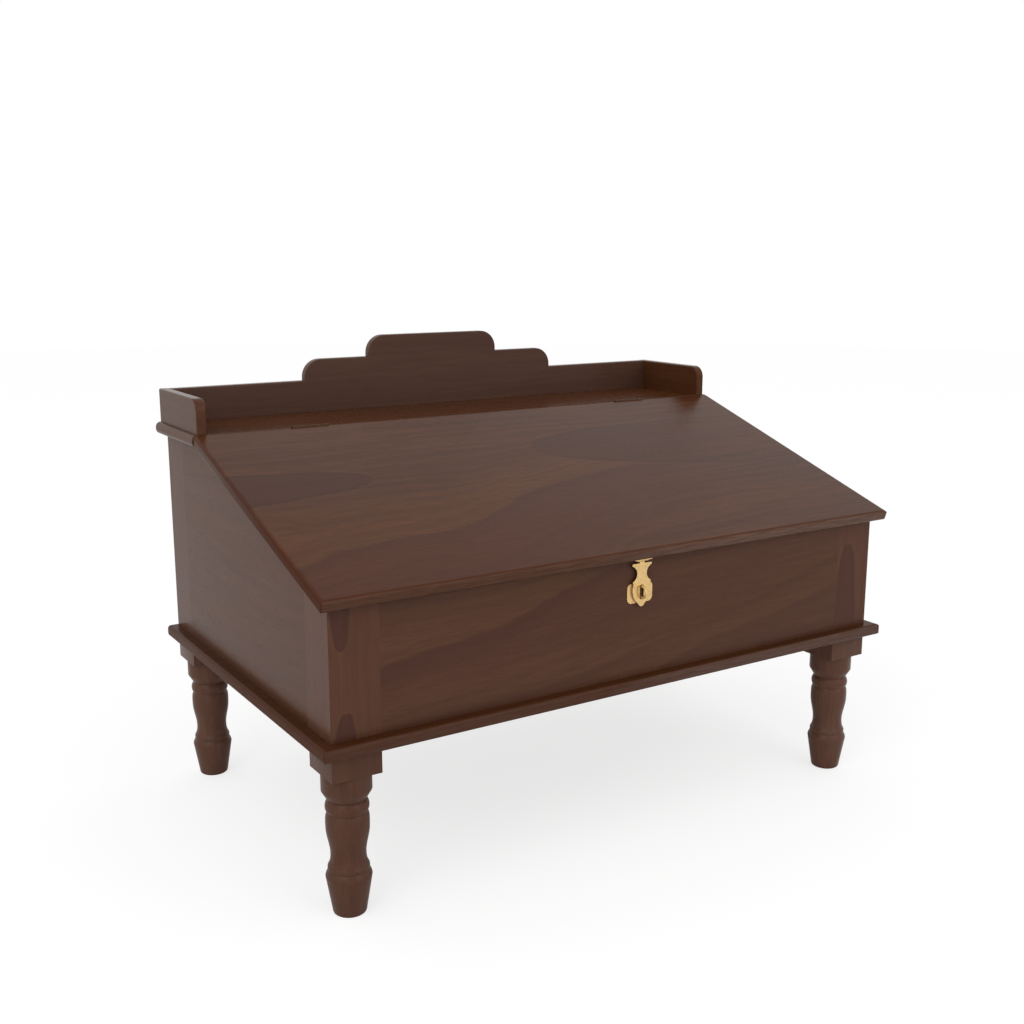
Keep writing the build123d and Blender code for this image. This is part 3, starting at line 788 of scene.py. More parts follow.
@dataclass(frozen=True)
class MetalFinish:
    """A metal with a soft tarnish and fine scratches, and where asked, painted shade on its sides and a
    painted shadow in an oval.
    """

    name: str
    bright: Colour
    dull: Colour
    roughness: float
    tarnish: float = 0.5
    # Strength of the painted shade on the faces that don't look to the front or the back.
    side: float = 0.0
    painted_side_shade: Colour = (0.22, 0.12, 0.05)
    painted_shade_oval: PaintedShadeOval | None = None
    tarnish_roughness: float = 0.12
    scratch_roughness: float = 0.06
    bump: float = 0.12
    bump_height: float = 0.05 * MM

    def sides(self, w: TreeWriter, normal: Signal, colour: Signal) -> Signal:
        """Paint shade on the faces that don't look to the front or the back, standing in for the dark gap
        beside the strap.

        Args:
            w: The material's writer.
            normal: The object's own normal.
            colour: The colour so far.

        Returns:
            The changed colour.
        """
        face, edge = 0.8, 0.4
        facing = w.calc("ABSOLUTE", w.axes(normal)[1])
        return w.mix(w.times(w.ramp(facing, face, edge), self.side), colour, self.painted_side_shade)

    def with_painted_shade_oval(self, w: TreeWriter, place: Signal, colour: Signal) -> Signal:
        """Paint the shadow into the oval.

        Args:
            w: The material's writer.
            place: The object's own millimetres.
            colour: The colour so far.

        Returns:
            The changed colour.
        """
        painted_shade_oval = self.painted_shade_oval
        offset = w.vector("SUBTRACT", place, (painted_shade_oval.middle[0], 0.0, painted_shade_oval.middle[1]))
        shares = w.vector("MULTIPLY", offset, (1 / painted_shade_oval.half_width, 0.0, 1 / painted_shade_oval.half_height))
        inside = w.ramp(w.vector("LENGTH", shares, out=1), painted_shade_oval.outer, painted_shade_oval.inner)
        return w.mix(w.times(inside, painted_shade_oval.strength), colour, painted_shade_oval.shade)

    def build(self) -> bpy.types.Material:
        """Make the material.

        Returns:
            The finished material.
        """
        material = bpy.data.materials.new(self.name)
        w = emptied(material)
        coordinates = w.add("ShaderNodeTexCoord").outputs
        place = w.add("ShaderNodeMapping", {"Vector": coordinates["Object"], "Scale": PER_MM}).outputs[0]
        patina = Groups.put(w, "metal_patina", Vector=place)
        colour = w.mix(w.times(patina["Tarnish"], self.tarnish), self.bright, self.dull)
        # Painted shade on the side faces.
        if self.side:
            colour = self.sides(w, coordinates["Normal"], colour)
        # Painted shadow in an oval on the plate, inside the strap's shade.
        if self.painted_shade_oval:
            colour = self.with_painted_shade_oval(w, place, colour)
        dulled = w.times(patina["Tarnish"], self.tarnish_roughness)
        rough = w.calc("ADD", dulled, w.times(patina["Scratches"], self.scratch_roughness))
        height = {"Strength": self.bump, "Distance": self.bump_height, "Height": patina["Height"]}
        surface = {
            "Base Color": colour,
            "Metallic": 1.0,
            "Roughness": w.calc("ADD", rough, self.roughness),
            "Normal": w.add("ShaderNodeBump", height).outputs[0],
        }
        w.shown(w.add("ShaderNodeBsdfPrincipled", surface))
        return material


# Meshes


def mesh_object(name: str, mesh: bpy.types.Mesh, material: bpy.types.Material) -> bpy.types.Object:
    """Put a mesh in the scene with one material.

    Args:
        name: The object's name.
        mesh: Its mesh, already in place.
        material: Its only material.

    Returns:
        The new object.
    """
    mesh.materials.clear()
    mesh.materials.append(material)
    return placed(name, mesh)


def placed(name: str, data: bpy.types.ID) -> bpy.types.Object:
    """Put a mesh, a curve, a lamp or a camera in the scene as an object.

    Args:
        name: The object's name.
        data: What it shows.

    Returns:
        The new object.
    """
    made = bpy.data.objects.new(name, data)
    bpy.context.scene.collection.objects.link(made)
    return made


def settled_mesh(source: bpy.types.Object, name: str) -> bpy.types.Mesh:
    """Take the evaluated shape of an object as a plain mesh, and remove the object.

    Args:
        source: The object, with its modifiers or its curve.
        name: The mesh's name.

    Returns:
        The plain mesh.
    """
    bpy.context.view_layer.update()
    graph = bpy.context.evaluated_depsgraph_get()
    mesh = bpy.data.meshes.new_from_object(source.evaluated_get(graph), depsgraph=graph)
    mesh.name = name
    bpy.data.objects.remove(source)
    return mesh


def grown_mesh(name: str, data: bpy.types.ID, tree: bpy.types.NodeTree, values: dict) -> bpy.types.Mesh:
    """Run a geometry tree on a curve or a mesh.

    Args:
        name: The new mesh's name.
        data: The curve or mesh that the tree starts from.
        tree: The geometry tree.
        values: The tree's inputs by name, which are set by their identifiers.

    Returns:
        The plain mesh.
    """
    sockets = [item for item in tree.interface.items_tree if item.item_type == "SOCKET"]
    identifiers = {socket.name: socket.identifier for socket in sockets if socket.in_out == "INPUT"}
    holder = placed(data.name, data)
    modifier = holder.modifiers.new(tree.name, "NODES")
    modifier.node_group = tree
    for key, value in values.items():
        modifier[identifiers[key]] = value
    return settled_mesh(holder, name)


def poly_curve(name: str, points: list[tuple[float, float, float]]) -> bpy.types.Curve:
    """Make a curve of straight pieces through points in space.

    Args:
        name: The curve's name.
        points: Where it runs.

    Returns:
        The curve.
    """
    curve = bpy.data.curves.new(name, "CURVE")
    curve.dimensions = "3D"
    spline = curve.splines.new("POLY")
    spline.points.add(len(points) - 1)
    for point, place in zip(spline.points, points):
        point.co = (*place, 1.0)
    return curve


def flat_plate(
    loops: list[list[Point]], thickness: float, ease: float, plane: Matrix, roundness: int = 2
) -> bpy.types.Mesh:
    """Make a flat plate with eased edges from its outlines.

    Args:
        loops: The outer outline, then any holes, in metres on the plane.
        thickness: The plate's full thickness; it lies from the plane towards the plane's Z.
        ease: The width of the eased edge.
        plane: The plane's place.
        roundness: The resolution of the eased edge.

    Returns:
        The plate's mesh, in place.
    """
    curve = bpy.data.curves.new("plate_outline", "CURVE")
    curve.dimensions = "2D"
    curve.fill_mode = "BOTH"
    curve.extrude = thickness / 2 - ease
    curve.bevel_depth = ease
    curve.bevel_resolution = roundness
    curve.offset = -ease
    for loop in loops:
        spline = curve.splines.new("POLY")
        spline.points.add(len(loop) - 1)
        for point, (x, y) in zip(spline.points, loop):
            point.co = (x, y, 0.0, 1.0)
        spline.use_cyclic_u = True
    mesh = settled_mesh(placed("plate_outline", curve), "plate")
    mesh.transform(plane @ Matrix.Translation((0.0, 0.0, thickness / 2)))
    return tidied(mesh)


def tidied(mesh: bpy.types.Mesh, sharp: float = 35.0, doubled: float = 0.002 * MM) -> bpy.types.Mesh:
    """Merge doubled points, turn the faces outwards and shade smooth up to an angle.

    Args:
        mesh: The mesh to tidy.
        sharp: The angle in degrees past which an edge stays sharp.
        doubled: How near points are that count as one.

    Returns:
        The same mesh.
    """
    work = bmesh.new()
    work.from_mesh(mesh)
    bmesh.ops.remove_doubles(work, verts=work.verts, dist=doubled)
    bmesh.ops.recalc_face_normals(work, faces=work.faces)
    for face in work.faces:
        face.smooth = True
    for edge in work.edges:
        if len(edge.link_faces) == 2:
            edge.smooth = edge.calc_face_angle() < math.radians(sharp)
    work.to_mesh(mesh)
    work.free()
    return mesh


def turned(profile: list[Point], place: Matrix, segments: int = 32) -> bpy.types.Mesh:
    """Turn a closed profile round the X axis.

    Args:
        profile: Pairs of distance along X and radius, in metres.
        place: Where the turned piece goes.
        segments: The number of sides.

    Returns:
        The turned mesh, in place.
    """
    work = bmesh.new()
    angles = [2 * math.pi * step / segments for step in range(segments)]
    rings = []
    for along, radius in profile:
        sides = angles if radius > 0.0 else [0.0]
        rings.append([work.verts.new((along, radius * math.cos(a), radius * math.sin(a))) for a in sides])
    closed = profile[0][1] > 0.0
    pairs = list(zip(rings, rings[1:])) + ([(rings[-1], rings[0])] if closed else [])
    for first, second in pairs:
        for step in range(segments):
            after = (step + 1) % segments
            corners = [first[step % len(first)], first[after % len(first)]]
            corners += [second[after % len(second)], second[step % len(second)]]
            work.faces.new(list(dict.fromkeys(corners)))
    mesh = bpy.data.meshes.new("turned")
    work.to_mesh(mesh)
    work.free()
    mesh.transform(place)
    return tidied(mesh)


def joined(name: str, meshes: list[bpy.types.Mesh]) -> bpy.types.Mesh:
    """Put several meshes into one.

    Args:
        name: The new mesh's name.
        meshes: The meshes to join.

    Returns:
        The joined mesh.
    """
    work = bmesh.new()
    for mesh in meshes:
        work.from_mesh(mesh)
    whole = bpy.data.meshes.new(name)
    work.to_mesh(whole)
    work.free()
    return whole


def arc(centre: Point, radius: float, start: float, end: float, steps: int) -> list[Point]:
    """List points on an arc.

    Args:
        centre: The arc's centre.
        radius: Its radius.
        start: Its first angle, in degrees.
        end: Its last angle, in degrees.
        steps: The number of its pieces.

    Returns:
        The points, both ends included.
    """
    angles = [math.radians(start + (end - start) * step / steps) for step in range(steps + 1)]
    return [(centre[0] + radius * math.cos(a), centre[1] + radius * math.sin(a)) for a in angles]


def through(first: Point, middle: Point, last: Point, steps: int) -> list[Point]:
    """List points on the arc through three points.

    Args:
        first: Where the arc starts.
        middle: A point on the way.
        last: Where the arc ends.
        steps: The number of its pieces.

    Returns:
        The points after the first.
    """
    (ax, ay), (bx, by), (cx, cy) = first, middle, last
    scale = 2 * (ax * (by - cy) + bx * (cy - ay) + cx * (ay - by))
    a2, b2, c2 = ax * ax + ay * ay, bx * bx + by * by, cx * cx + cy * cy
    ux = (a2 * (by - cy) + b2 * (cy - ay) + c2 * (ay - by)) / scale
    uy = (a2 * (cx - bx) + b2 * (ax - cx) + c2 * (bx - ax)) / scale
    start, via, end = [math.degrees(math.atan2(y - uy, x - ux)) for x, y in (first, middle, last)]
    turn = (end - start) % FULL_TURN
    if not (via - start) % FULL_TURN <= turn:
        turn -= FULL_TURN
    return arc((ux, uy), math.hypot(ax - ux, ay - uy), start, start + turn, steps)[1:]


def rounded_rectangle(width: float, height: float, radius: float, steps: int = 6) -> list[Point]:
    """List the outline of a rectangle with round corners, about the plane's middle.

    Args:
        width: The full width.
        height: The full height.
        radius: The corners' radius.
        steps: The number of pieces of each corner.

    Returns:
        The outline's points, anticlockwise.
    """
    x, y = width / 2 - radius, height / 2 - radius
    corners = (((x, y), 0.0), ((-x, y), 90.0), ((-x, -y), 180.0), ((x, -y), 270.0))
    points: list[Point] = []
    for corner, start in corners:
        points += arc(corner, radius, start, start + 90.0, steps)
    return points


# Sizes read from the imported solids


@dataclass(frozen=True)
class DeskSizes:
    """Places that several sub-assemblies share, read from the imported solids."""

    base_under: float
    floor_of_case: float
    front_face: float
    shelf_front: float
    shelf_under: float
    post: float
    rim_front: float

    @classmethod
    def read(cls) -> "DeskSizes":
        """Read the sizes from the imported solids.

        Returns:
            The sizes.
        """
        base_low, base_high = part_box("base_board")
        post_low, post_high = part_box("post_front_left")
        shelf_low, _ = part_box("shelf_board")
        panel_low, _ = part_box("front_panel")
        rise = (shelf_low.z - post_high.z) / (shelf_low.y - post_high.y)
        return cls(
            base_under=base_low.z,
            floor_of_case=base_high.z,
            front_face=panel_low.y,
            shelf_front=shelf_low.y,
            shelf_under=shelf_low.z,
            post=post_high.x - post_low.x,
            rim_front=post_high.z - rise * (post_high.y - panel_low.y),
        )

    @property
    def slope(self) -> float:
        """The lid's slope in radians."""
        return math.atan2(self.shelf_under - self.rim_front, self.shelf_front - self.front_face)

    def along_slope(self, y: float, z: float) -> float:
        """Give the distance of a point up the slope, in millimetres."""
        return (y * math.cos(self.slope) + z * math.sin(self.slope)) / MM


# Sub-assemblies


def dress(node: str, material: bpy.types.Material) -> None:
    """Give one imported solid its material.

    Args:
        node: The solid's name.
        material: Its material.
    """
    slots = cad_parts[node].data.materials
    slots.clear()
    slots.append(material)
    LOG.info("dressed %s in %s", node, material.name)


class Wood(Enum):
    """The mean colours of the boards' wood."""

    LID = (0.0870, 0.0290, 0.0098)
    SHELF_TOP = (0.0745, 0.0250, 0.0085)
    WING = (0.0800, 0.0280, 0.0105)
    BASE = (0.0680, 0.0225, 0.0075)
    FRONT = (0.0870, 0.0370, 0.0215)
    SIDE = (0.0845, 0.0320, 0.0150)
    POST = (0.0980, 0.0410, 0.0240)
    GALLERY = (0.0850, 0.0410, 0.0265)
    LEG = (0.0930, 0.0410, 0.0250)
    # A lighter copy of LEG: painted light for the legs that the desk's shadow on the floor leaves darker.
    PAINTED_LIGHT_LEG = (0.1130, 0.0530, 0.0340)
    PLAIN = (0.4200, 0.2700, 0.1500)


@dataclass
class Casework:
    """Base board, corner posts, panels, shelf board and their dowels, dressed as the wood they are."""

    sizes: DeskSizes
    seed: float = 3.0
    seed_step: float = 1.7

    @property
    def floor(self) -> float:
        """The height of the case's floor above the ground, in millimetres."""
        return self.sizes.floor_of_case / MM

    def raised(self, points: tuple[Point, ...]) -> tuple[Point, ...]:
        """Move a line's points up by the height of the case's floor."""
        return tuple((x, y + self.floor) for x, y in points)

    def post_tongues(self, node: str) -> tuple[Tongue, ...]:
        """List the heartwood on one post's front face, in heights above the ground and places across.

        Args:
            node: The post's name.

        Returns:
            The post's tongues.
        """
        floor = self.floor
        round_tip = {"power": 0.33, "strength": 0.9, "rim": 0.15}
        if node == "post_front_left":
            return (
                Tongue((floor + 73.0, 283.5), aim=1.0, spread=2.75, **round_tip),
                Tongue((floor + 22.1, 280.0), aim=-1.0, spread=3.3, lean=-0.08, **round_tip),
            )
        if node == "post_front_right":
            look = {"power": 0.27, "strength": 0.75, "fade": 138.0}
            return (Tongue((floor + 85.5, -264.0), aim=-1.0, spread=4.6, **look),)
        return ()

    def front_flames(self) -> tuple[Flame, ...]:
        """Lay the front panel's grain lines, in places across and heights above the case's floor.

        Returns:
            The grain lines.
        """
        main = (
            (-259.0, 51.5), (-249.0, 54.0), (-206.0, 62.0), (-173.0, 65.0), (-144.0, 68.5),
            (-111.0, 78.5), (-78.0, 89.5), (-45.0, 97.5), (-20.0, 104.5), (259.0, 126.5),
        )
        dark = (
            (-259.0, 1.5), (-60.0, 13.5), (20.0, 28.5), (82.0, 37.5), (144.0, 51.5), (243.0, 76.5),
            (259.0, 80.5),
        )
        low = (
            (-259.0, -22.5), (-20.0, -10.5), (41.0, 6.5), (103.0, 22.5), (165.0, 31.5), (247.0, 49.5),
            (259.0, 52.5),
        )
        fading = {"fade_start": -110.0, "fade_end": 60.0}
        widths = {"line_width": 26.0, "glow_width": 50.0, "shade_width": 60.0}
        return (
            Flame(self.raised(main), line=0.55, glow=0.35, shade=0.30, draw=0.6, **widths, **fading),
            Flame(self.raised(dark), line=0.30, glow=0.10, shade=0.0, line_width=12.0, glow_width=20.0),
            Flame(self.raised(low), line=0.20, glow=0.40, shade=0.0, line_width=14.0, glow_width=26.0),
        )

    def side_flames(self) -> tuple[Flame, ...]:
        """Lay the side panels' grain lines, in places along the side and heights above the case's floor.

        Returns:
            The grain lines.
        """
        main = ((-150.0, 73.5), (-60.0, 79.5), (40.0, 81.5), (150.0, 73.5))
        high = ((-150.0, 101.5), (-20.0, 97.5), (60.0, 105.5), (150.0, 121.5))
        return (
            Flame(self.raised(high), line=0.25, glow=0.10, shade=0.0, line_width=14.0, draw=0.3),
            Flame(self.raised(main), line=0.0, glow=0.0, shade=-0.25, line_width=10.0, shade_width=60.0),
        )

    def posts(self) -> None:
        """Dress the four corner posts."""
        for index, corner in enumerate(CORNERS):
            node = f"post_{corner}"
            figure = {"seed": self.seed + self.seed_step * index, "tongues": self.post_tongues(node)}
            grain = {"waviness": 2.0, "streak": 0.4}
            look = WoodFinish(f"walnut_{node}", Wood.POST.value, Lay.STANDING, **figure, **grain)
            dress(node, look.build())

    def panels(self) -> None:
        """Dress the four panels."""
        looks = {
            "front_panel": (Wood.FRONT, Lay.UPRIGHT, 11.0, self.front_flames()),
            "back_panel": (Wood.FRONT, Lay.UPRIGHT, 12.0, ()),
            "side_panel_left": (Wood.SIDE, Lay.SIDEWAYS, 13.0, self.side_flames()),
            "side_panel_right": (Wood.SIDE, Lay.SIDEWAYS, 14.0, self.side_flames()),
        }
        for node, (wood, lay, seed, flames) in looks.items():
            dress(node, WoodFinish(f"walnut_{node}", wood.value, lay, seed=seed, flames=flames).build())

    def base(self) -> None:
        """Dress the base board, whose front edge gets a painted sheen, greyer to the right, and whose ends are
        dull, darker in front and turning to a greyer painted sheen further back.
        """
        low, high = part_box("base_board")
        # The front edge colours, left and right, are painted sheen; the end colour turns to a greyer painted
        # sheen towards the back.
        tones = EdgeTones(
            half_length=high.x / MM,
            front=low.y / MM,
            left=(0.0775, 0.0375, 0.0262),
            right=(0.1045, 0.0635, 0.0505),
            end=(0.0670, 0.0240, 0.0120),
            end_back=(0.1050, 0.0600, 0.0480),
        )
        look = WoodFinish("walnut_base_board", Wood.BASE.value, seed=15.0, edges=tones, gloss=0.045)
        dress("base_board", look.build())

    def shelf(self) -> None:
        """Dress the shelf board, whose ends are polished."""
        low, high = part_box("shelf_board")
        top = Wood.SHELF_TOP.value
        end = (0.0990, 0.0460, 0.0300)
        rough = {"end_roughness": 0.20, "back_roughness": 0.20}
        tones = EdgeTones(high.x / MM, low.y / MM, left=top, right=top, end=end, end_back=end, **rough)
        grain = {"seed": 16.0, "fibre": 0.20, "pores": 0.12}
        look = WoodFinish("walnut_shelf_board", top, edges=tones, roughness=0.18, gloss=0.055, **grain)
        dress("shelf_board", look.build())

    def dowels(self) -> None:
        """Dress the dowels in plain wood."""
        for node in ("shelf_dowels", "gallery_dowels"):
            look = WoodFinish(f"plain_{node}", Wood.PLAIN.value, Lay.STANDING, seed=17.0, roughness=0.5)
            dress(node, look.build())

    def build(self) -> None:
        """Dress every board of the case."""
        self.posts()
        self.panels()
        self.base()
        self.shelf()
        self.dowels()


@dataclass
class Gallery:
    """The boards that stand round the shelf."""

    seed: float = 21.0

    def build(self) -> None:
        """Dress the gallery's boards."""
        back = WoodFinish("walnut_gallery_back", Wood.GALLERY.value, Lay.UPRIGHT, seed=self.seed, streak=0.4)
        dress("gallery_back", back.build())
        for index, (side, wood) in enumerate((("left", Wood.SIDE), ("right", Wood.WING)), start=1):
            wing = WoodFinish(f"walnut_wing_{side}", wood.value, Lay.SIDEWAYS, seed=self.seed + index)
            dress(f"gallery_wing_{side}", wing.build())


@dataclass
class WritingLid:
    """The sloping lid board."""

    sizes: DeskSizes

    def tongues(self) -> tuple[Tongue, ...]:
        """List the lid's heartwood, in places across and heights below the back edge.

        Returns:
            The lid's tongues.
        """
        right = {"lean": -0.085, "strength": 0.80, "fade": 310.0, "rim": 0.45, "rim_width": 6.0}
        return (
            Tongue((-177.5, -111.0), aim=-1.0, spread=4.25, strength=1.0, rim=0.20),
            Tongue((9.0, -88.0), aim=1.0, spread=6.5, **right),
        )

    def flames(self) -> tuple[Flame, ...]:
        """Lay the lid's grain lines, in places across and heights below the back edge.

        Returns:
            The grain lines.
        """
        main = (
            (-305.0, -240.0), (-281.0, -232.0), (-263.0, -224.0), (-225.0, -218.5), (-192.0, -215.0),
            (-155.0, -213.5), (-131.0, -207.5), (-98.0, -193.5), (-75.0, -182.0), (-47.0, -168.5),
            (-19.0, -160.5), (19.0, -151.5), (47.0, -145.5), (80.0, -141.0), (305.0, -128.0),
        )
        low = (
            (-305.0, -330.0), (-40.0, -290.0), (19.0, -261.0), (112.0, -252.0), (197.0, -238.0),
            (305.0, -222.0),
        )
        widths = {"line_width": 14.0, "glow_width": 80.0, "shade_width": 170.0}
        return (
            Flame(main, line=0.60, glow=0.55, shade=0.75, fade_start=40.0, fade_end=190.0, **widths),
            Flame(low, line=0.30, glow=0.30, shade=0.0, line_width=9.0, glow_width=14.0),
        )

    def build(self) -> None:
        """Dress the lid with its figured wood."""
        _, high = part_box("lid_board")
        back = self.sizes.along_slope(high.y, high.z)
        points = [vertex.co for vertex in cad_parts["lid_board"].data.vertices]
        front = min(self.sizes.along_slope(point.y, point.z) for point in points)
        end = (0.0590, 0.0150, 0.0040)
        # The front edge's colours, greyer and lighter to the right, are painted sheen; the ends stay dark end
        # grain.
        tones = EdgeTones(
            half_length=high.x / MM,
            front=front - back,
            left=(0.0860, 0.0385, 0.0234),
            right=(0.1270, 0.0725, 0.0535),
            end=end,
            end_back=end,
            change=(-120.0, 120.0),
            back=(50.0, 270.0),
            end_roughness=0.66,
            back_roughness=0.28,
        )
        look = WoodFinish(
            "walnut_lid",
            Wood.LID.value,
            tilt=self.sizes.slope,
            origin=(0.0, -back, 0.0),
            seed=31.0,
            tone=0.9,
            streak=0.72,
            fibre=0.48,
            contrast=1.5,
            tongues=self.tongues(),
            flames=self.flames(),
            edges=tones,
            gloss=0.098,
        )
        dress("lid_board", look.build())


@dataclass
class TurnedLegs:
    """The four turned legs, each made by one tree from its spine, and its square block."""

    sizes: DeskSizes
    block_height: float = 22.1 * MM
    block_ease: float = 0.5 * MM
    ease_steps: int = 4
    facets: int = 64
    crease: float = 32.0
    doubled: float = 0.001 * MM
    seed: float = 41.0
    seed_step: float = 2.3

    def profile(self) -> list[Point]:
        """List the turning from the block down to the floor, as drops below the base board and radii.

        Returns:
            The turning's points, in metres.
        """
        height = self.sizes.base_under / MM
        collar, neck, groove = (38.0, 20.6), (46.4, 15.6), (57.0, 16.3)
        shaft, waist, ankle = (70.0, 17.8), (92.6, 14.5), (102.2, 16.2)
        foot_neck, foot = (106.8, 16.6), (112.8, 18.95)
        ankle_slope, sole_radius, sole_ease, sole_rim = 0.5, 13.85, 1.6, 12.7
        points = [(self.block_height / MM, collar[1]), collar, (38.6, 20.35), neck]
        points += through(neck, (51.8, 17.9), groove, steps=14)
        points += [(58.4, 17.0), (60.2, 17.55), (62.4, 17.8), (66.2, 17.9), shaft]
        points += self.hollow(shaft, waist, 0.0, steps=12)
        points += self.hollow(waist, ankle, ankle_slope, steps=6)
        points += through(ankle, (104.4, 17.1), foot_neck, steps=8)
        points += [(108.6, 17.7), (110.4, 18.55), (112.0, 19.0), foot]
        points += [(height - sole_ease, sole_radius), (height - 0.7, 13.5), (height, sole_rim)]
        return [(drop * MM, radius * MM) for drop, radius in points]

    def hollow(self, start: Point, end: Point, end_slope: float, steps: int) -> list[Point]:
        """Ease a radius between two places, level at the start.

        Args:
            start: The first drop and radius.
            end: The last drop and radius.
            end_slope: The radius's slope at the end.
            steps: The number of pieces.

        Returns:
            The points after the first.
        """
        span = end[0] - start[0]
        points = []
        for step in range(1, steps + 1):
            t = step / steps
            share = 3 * t**2 - 2 * t**3
            radius = (1 - share) * start[1] + share * end[1] + (t**3 - t**2) * span * end_slope
            points.append((start[0] + span * t, radius))
        return points

    def block(self, w: TreeWriter, source: dict[str, Signal]) -> Signal:
        """Write the square block under the base board.

        Args:
            w: The tree's writer.
            source: The tree's inputs.

        Returns:
            The block's geometry.
        """
        sides = {"Width": source["Block Side"], "Height": source["Block Side"]}
        square = w.add("GeometryNodeCurvePrimitiveQuadrilateral", sides, mode="RECTANGLE")
        easing = {"Curve": square.outputs[0], "Radius": source["Block Ease"], "Count": self.ease_steps}
        eased = w.add("GeometryNodeFilletCurve", easing, mode="POLY")
        face = w.add("GeometryNodeFillCurve", {"Curve": eased.outputs[0]}, mode="NGONS").outputs[0]
        drop = w.point({2: w.times(source["Block Height"], -1.0)})
        pulling = {"Mesh": face, "Offset": drop, "Individual": False}
        pulled = w.add("GeometryNodeExtrudeMesh", pulling, mode="FACES")
        flipped = w.add("GeometryNodeFlipFaces", {"Mesh": face})
        block = w.together(pulled.outputs[0], flipped.outputs[0])
        return w.add("GeometryNodeMergeByDistance", {"Geometry": block, "Distance": self.doubled}).outputs[0]

    def tree(self) -> bpy.types.NodeTree:
        """Build the tree that turns a spine into a leg and sets the block on it.

        Returns:
            The geometry tree.
        """
        inputs = [
            Port("Geometry", Socket.GEOMETRY),
            Port("Place", Socket.VECTOR),
            *numbers(Block_Side=self.sizes.post, Block_Height=self.block_height, Block_Ease=self.block_ease),
            Port("Facets", Socket.COUNT, self.facets),
            Port("Wood", Socket.MATERIAL),
        ]
        outputs = [Port("Geometry", Socket.GEOMETRY)]
        w, source, result = new_tree("turned_leg", "GeometryNodeTree", inputs, outputs)
        ring = {"Resolution": source["Facets"], "Radius": 1.0}
        profile = w.add("GeometryNodeCurvePrimitiveCircle", ring, mode="RADIUS").outputs[0]
        turning = {"Curve": source["Geometry"], "Profile Curve": profile, "Fill Caps": True}
        turning["Scale"] = w.add("GeometryNodeInputRadius").outputs[0]
        lathe = w.add("GeometryNodeCurveToMesh", turning)
        whole = w.together(lathe.outputs[0], self.block(w, source))
        moved = w.add("GeometryNodeSetPosition", {"Geometry": whole, "Offset": source["Place"]}).outputs[0]
        rounded = {"Geometry": moved, "Shade Smooth": True}
        smooth = w.add("GeometryNodeSetShadeSmooth", rounded, domain="FACE").outputs[0]
        angles = {0: w.add("GeometryNodeInputMeshEdgeAngle").outputs[0], 1: math.radians(self.crease)}
        steep = w.add("FunctionNodeCompare", angles, data_type="FLOAT", operation="GREATER_THAN").outputs[0]
        creasing = {"Geometry": smooth, "Selection": steep, "Shade Smooth": False}
        creased = w.add("GeometryNodeSetShadeSmooth", creasing, domain="EDGE").outputs[0]
        real = w.add("GeometryNodeRealizeInstances", {"Geometry": creased}).outputs[0]
        stained = w.add("GeometryNodeSetMaterial", {"Geometry": real, "Material": source["Wood"]})
        w.send(result, Geometry=stained.outputs[0])
        return w.tree

    def spine(self) -> bpy.types.Curve:
        """Make the leg's spine, whose radius at each point is the turning's.

        Returns:
            The spine's curve.
        """
        profile = self.profile()
        curve = poly_curve("leg_spine", [(0.0, 0.0, -drop) for drop, _ in profile])
        for point, (_, radius) in zip(curve.splines[0].points, profile):
            point.radius = radius
        return curve

    def build(self) -> None:
        """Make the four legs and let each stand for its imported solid."""
        tree = self.tree()
        for index, corner in enumerate(CORNERS):
            node = f"leg_{corner}"
            low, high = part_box(node)
            # The legs other than the front left take a lighter copy of the leg colour, painted light against
            # the shade from the floor under the desk.
            leg_tone = Wood.LEG if index == 0 else Wood.PAINTED_LIGHT_LEG
            seed = self.seed + self.seed_step * index
            wood = WoodFinish(f"walnut_{node}", leg_tone.value, Lay.STANDING, seed=seed, waviness=3.0).build()
            values = {
                "Place": ((low.x + high.x) / 2, (low.y + high.y) / 2, self.sizes.base_under),
                "Block Side": self.sizes.post,
                "Block Height": self.block_height,
                "Block Ease": self.block_ease,
                "Facets": self.facets,
                "Wood": wood,
            }
            name = f"turned_{node}"
            leg = mesh_object(name, grown_mesh(name, self.spine(), tree, values), wood)
            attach(leg, "carcass")
            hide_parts(node)
            LOG.info("turned %s with %d faces", node, len(leg.data.polygons))


@dataclass(frozen=True)
class ScrewSet:
    """One set of packed screws: its node, body and slot, and its heads' facing, length and metal."""

    node: str
    body: str
    slot: str
    outward: Vector
    length: float
    metal: bpy.types.Material


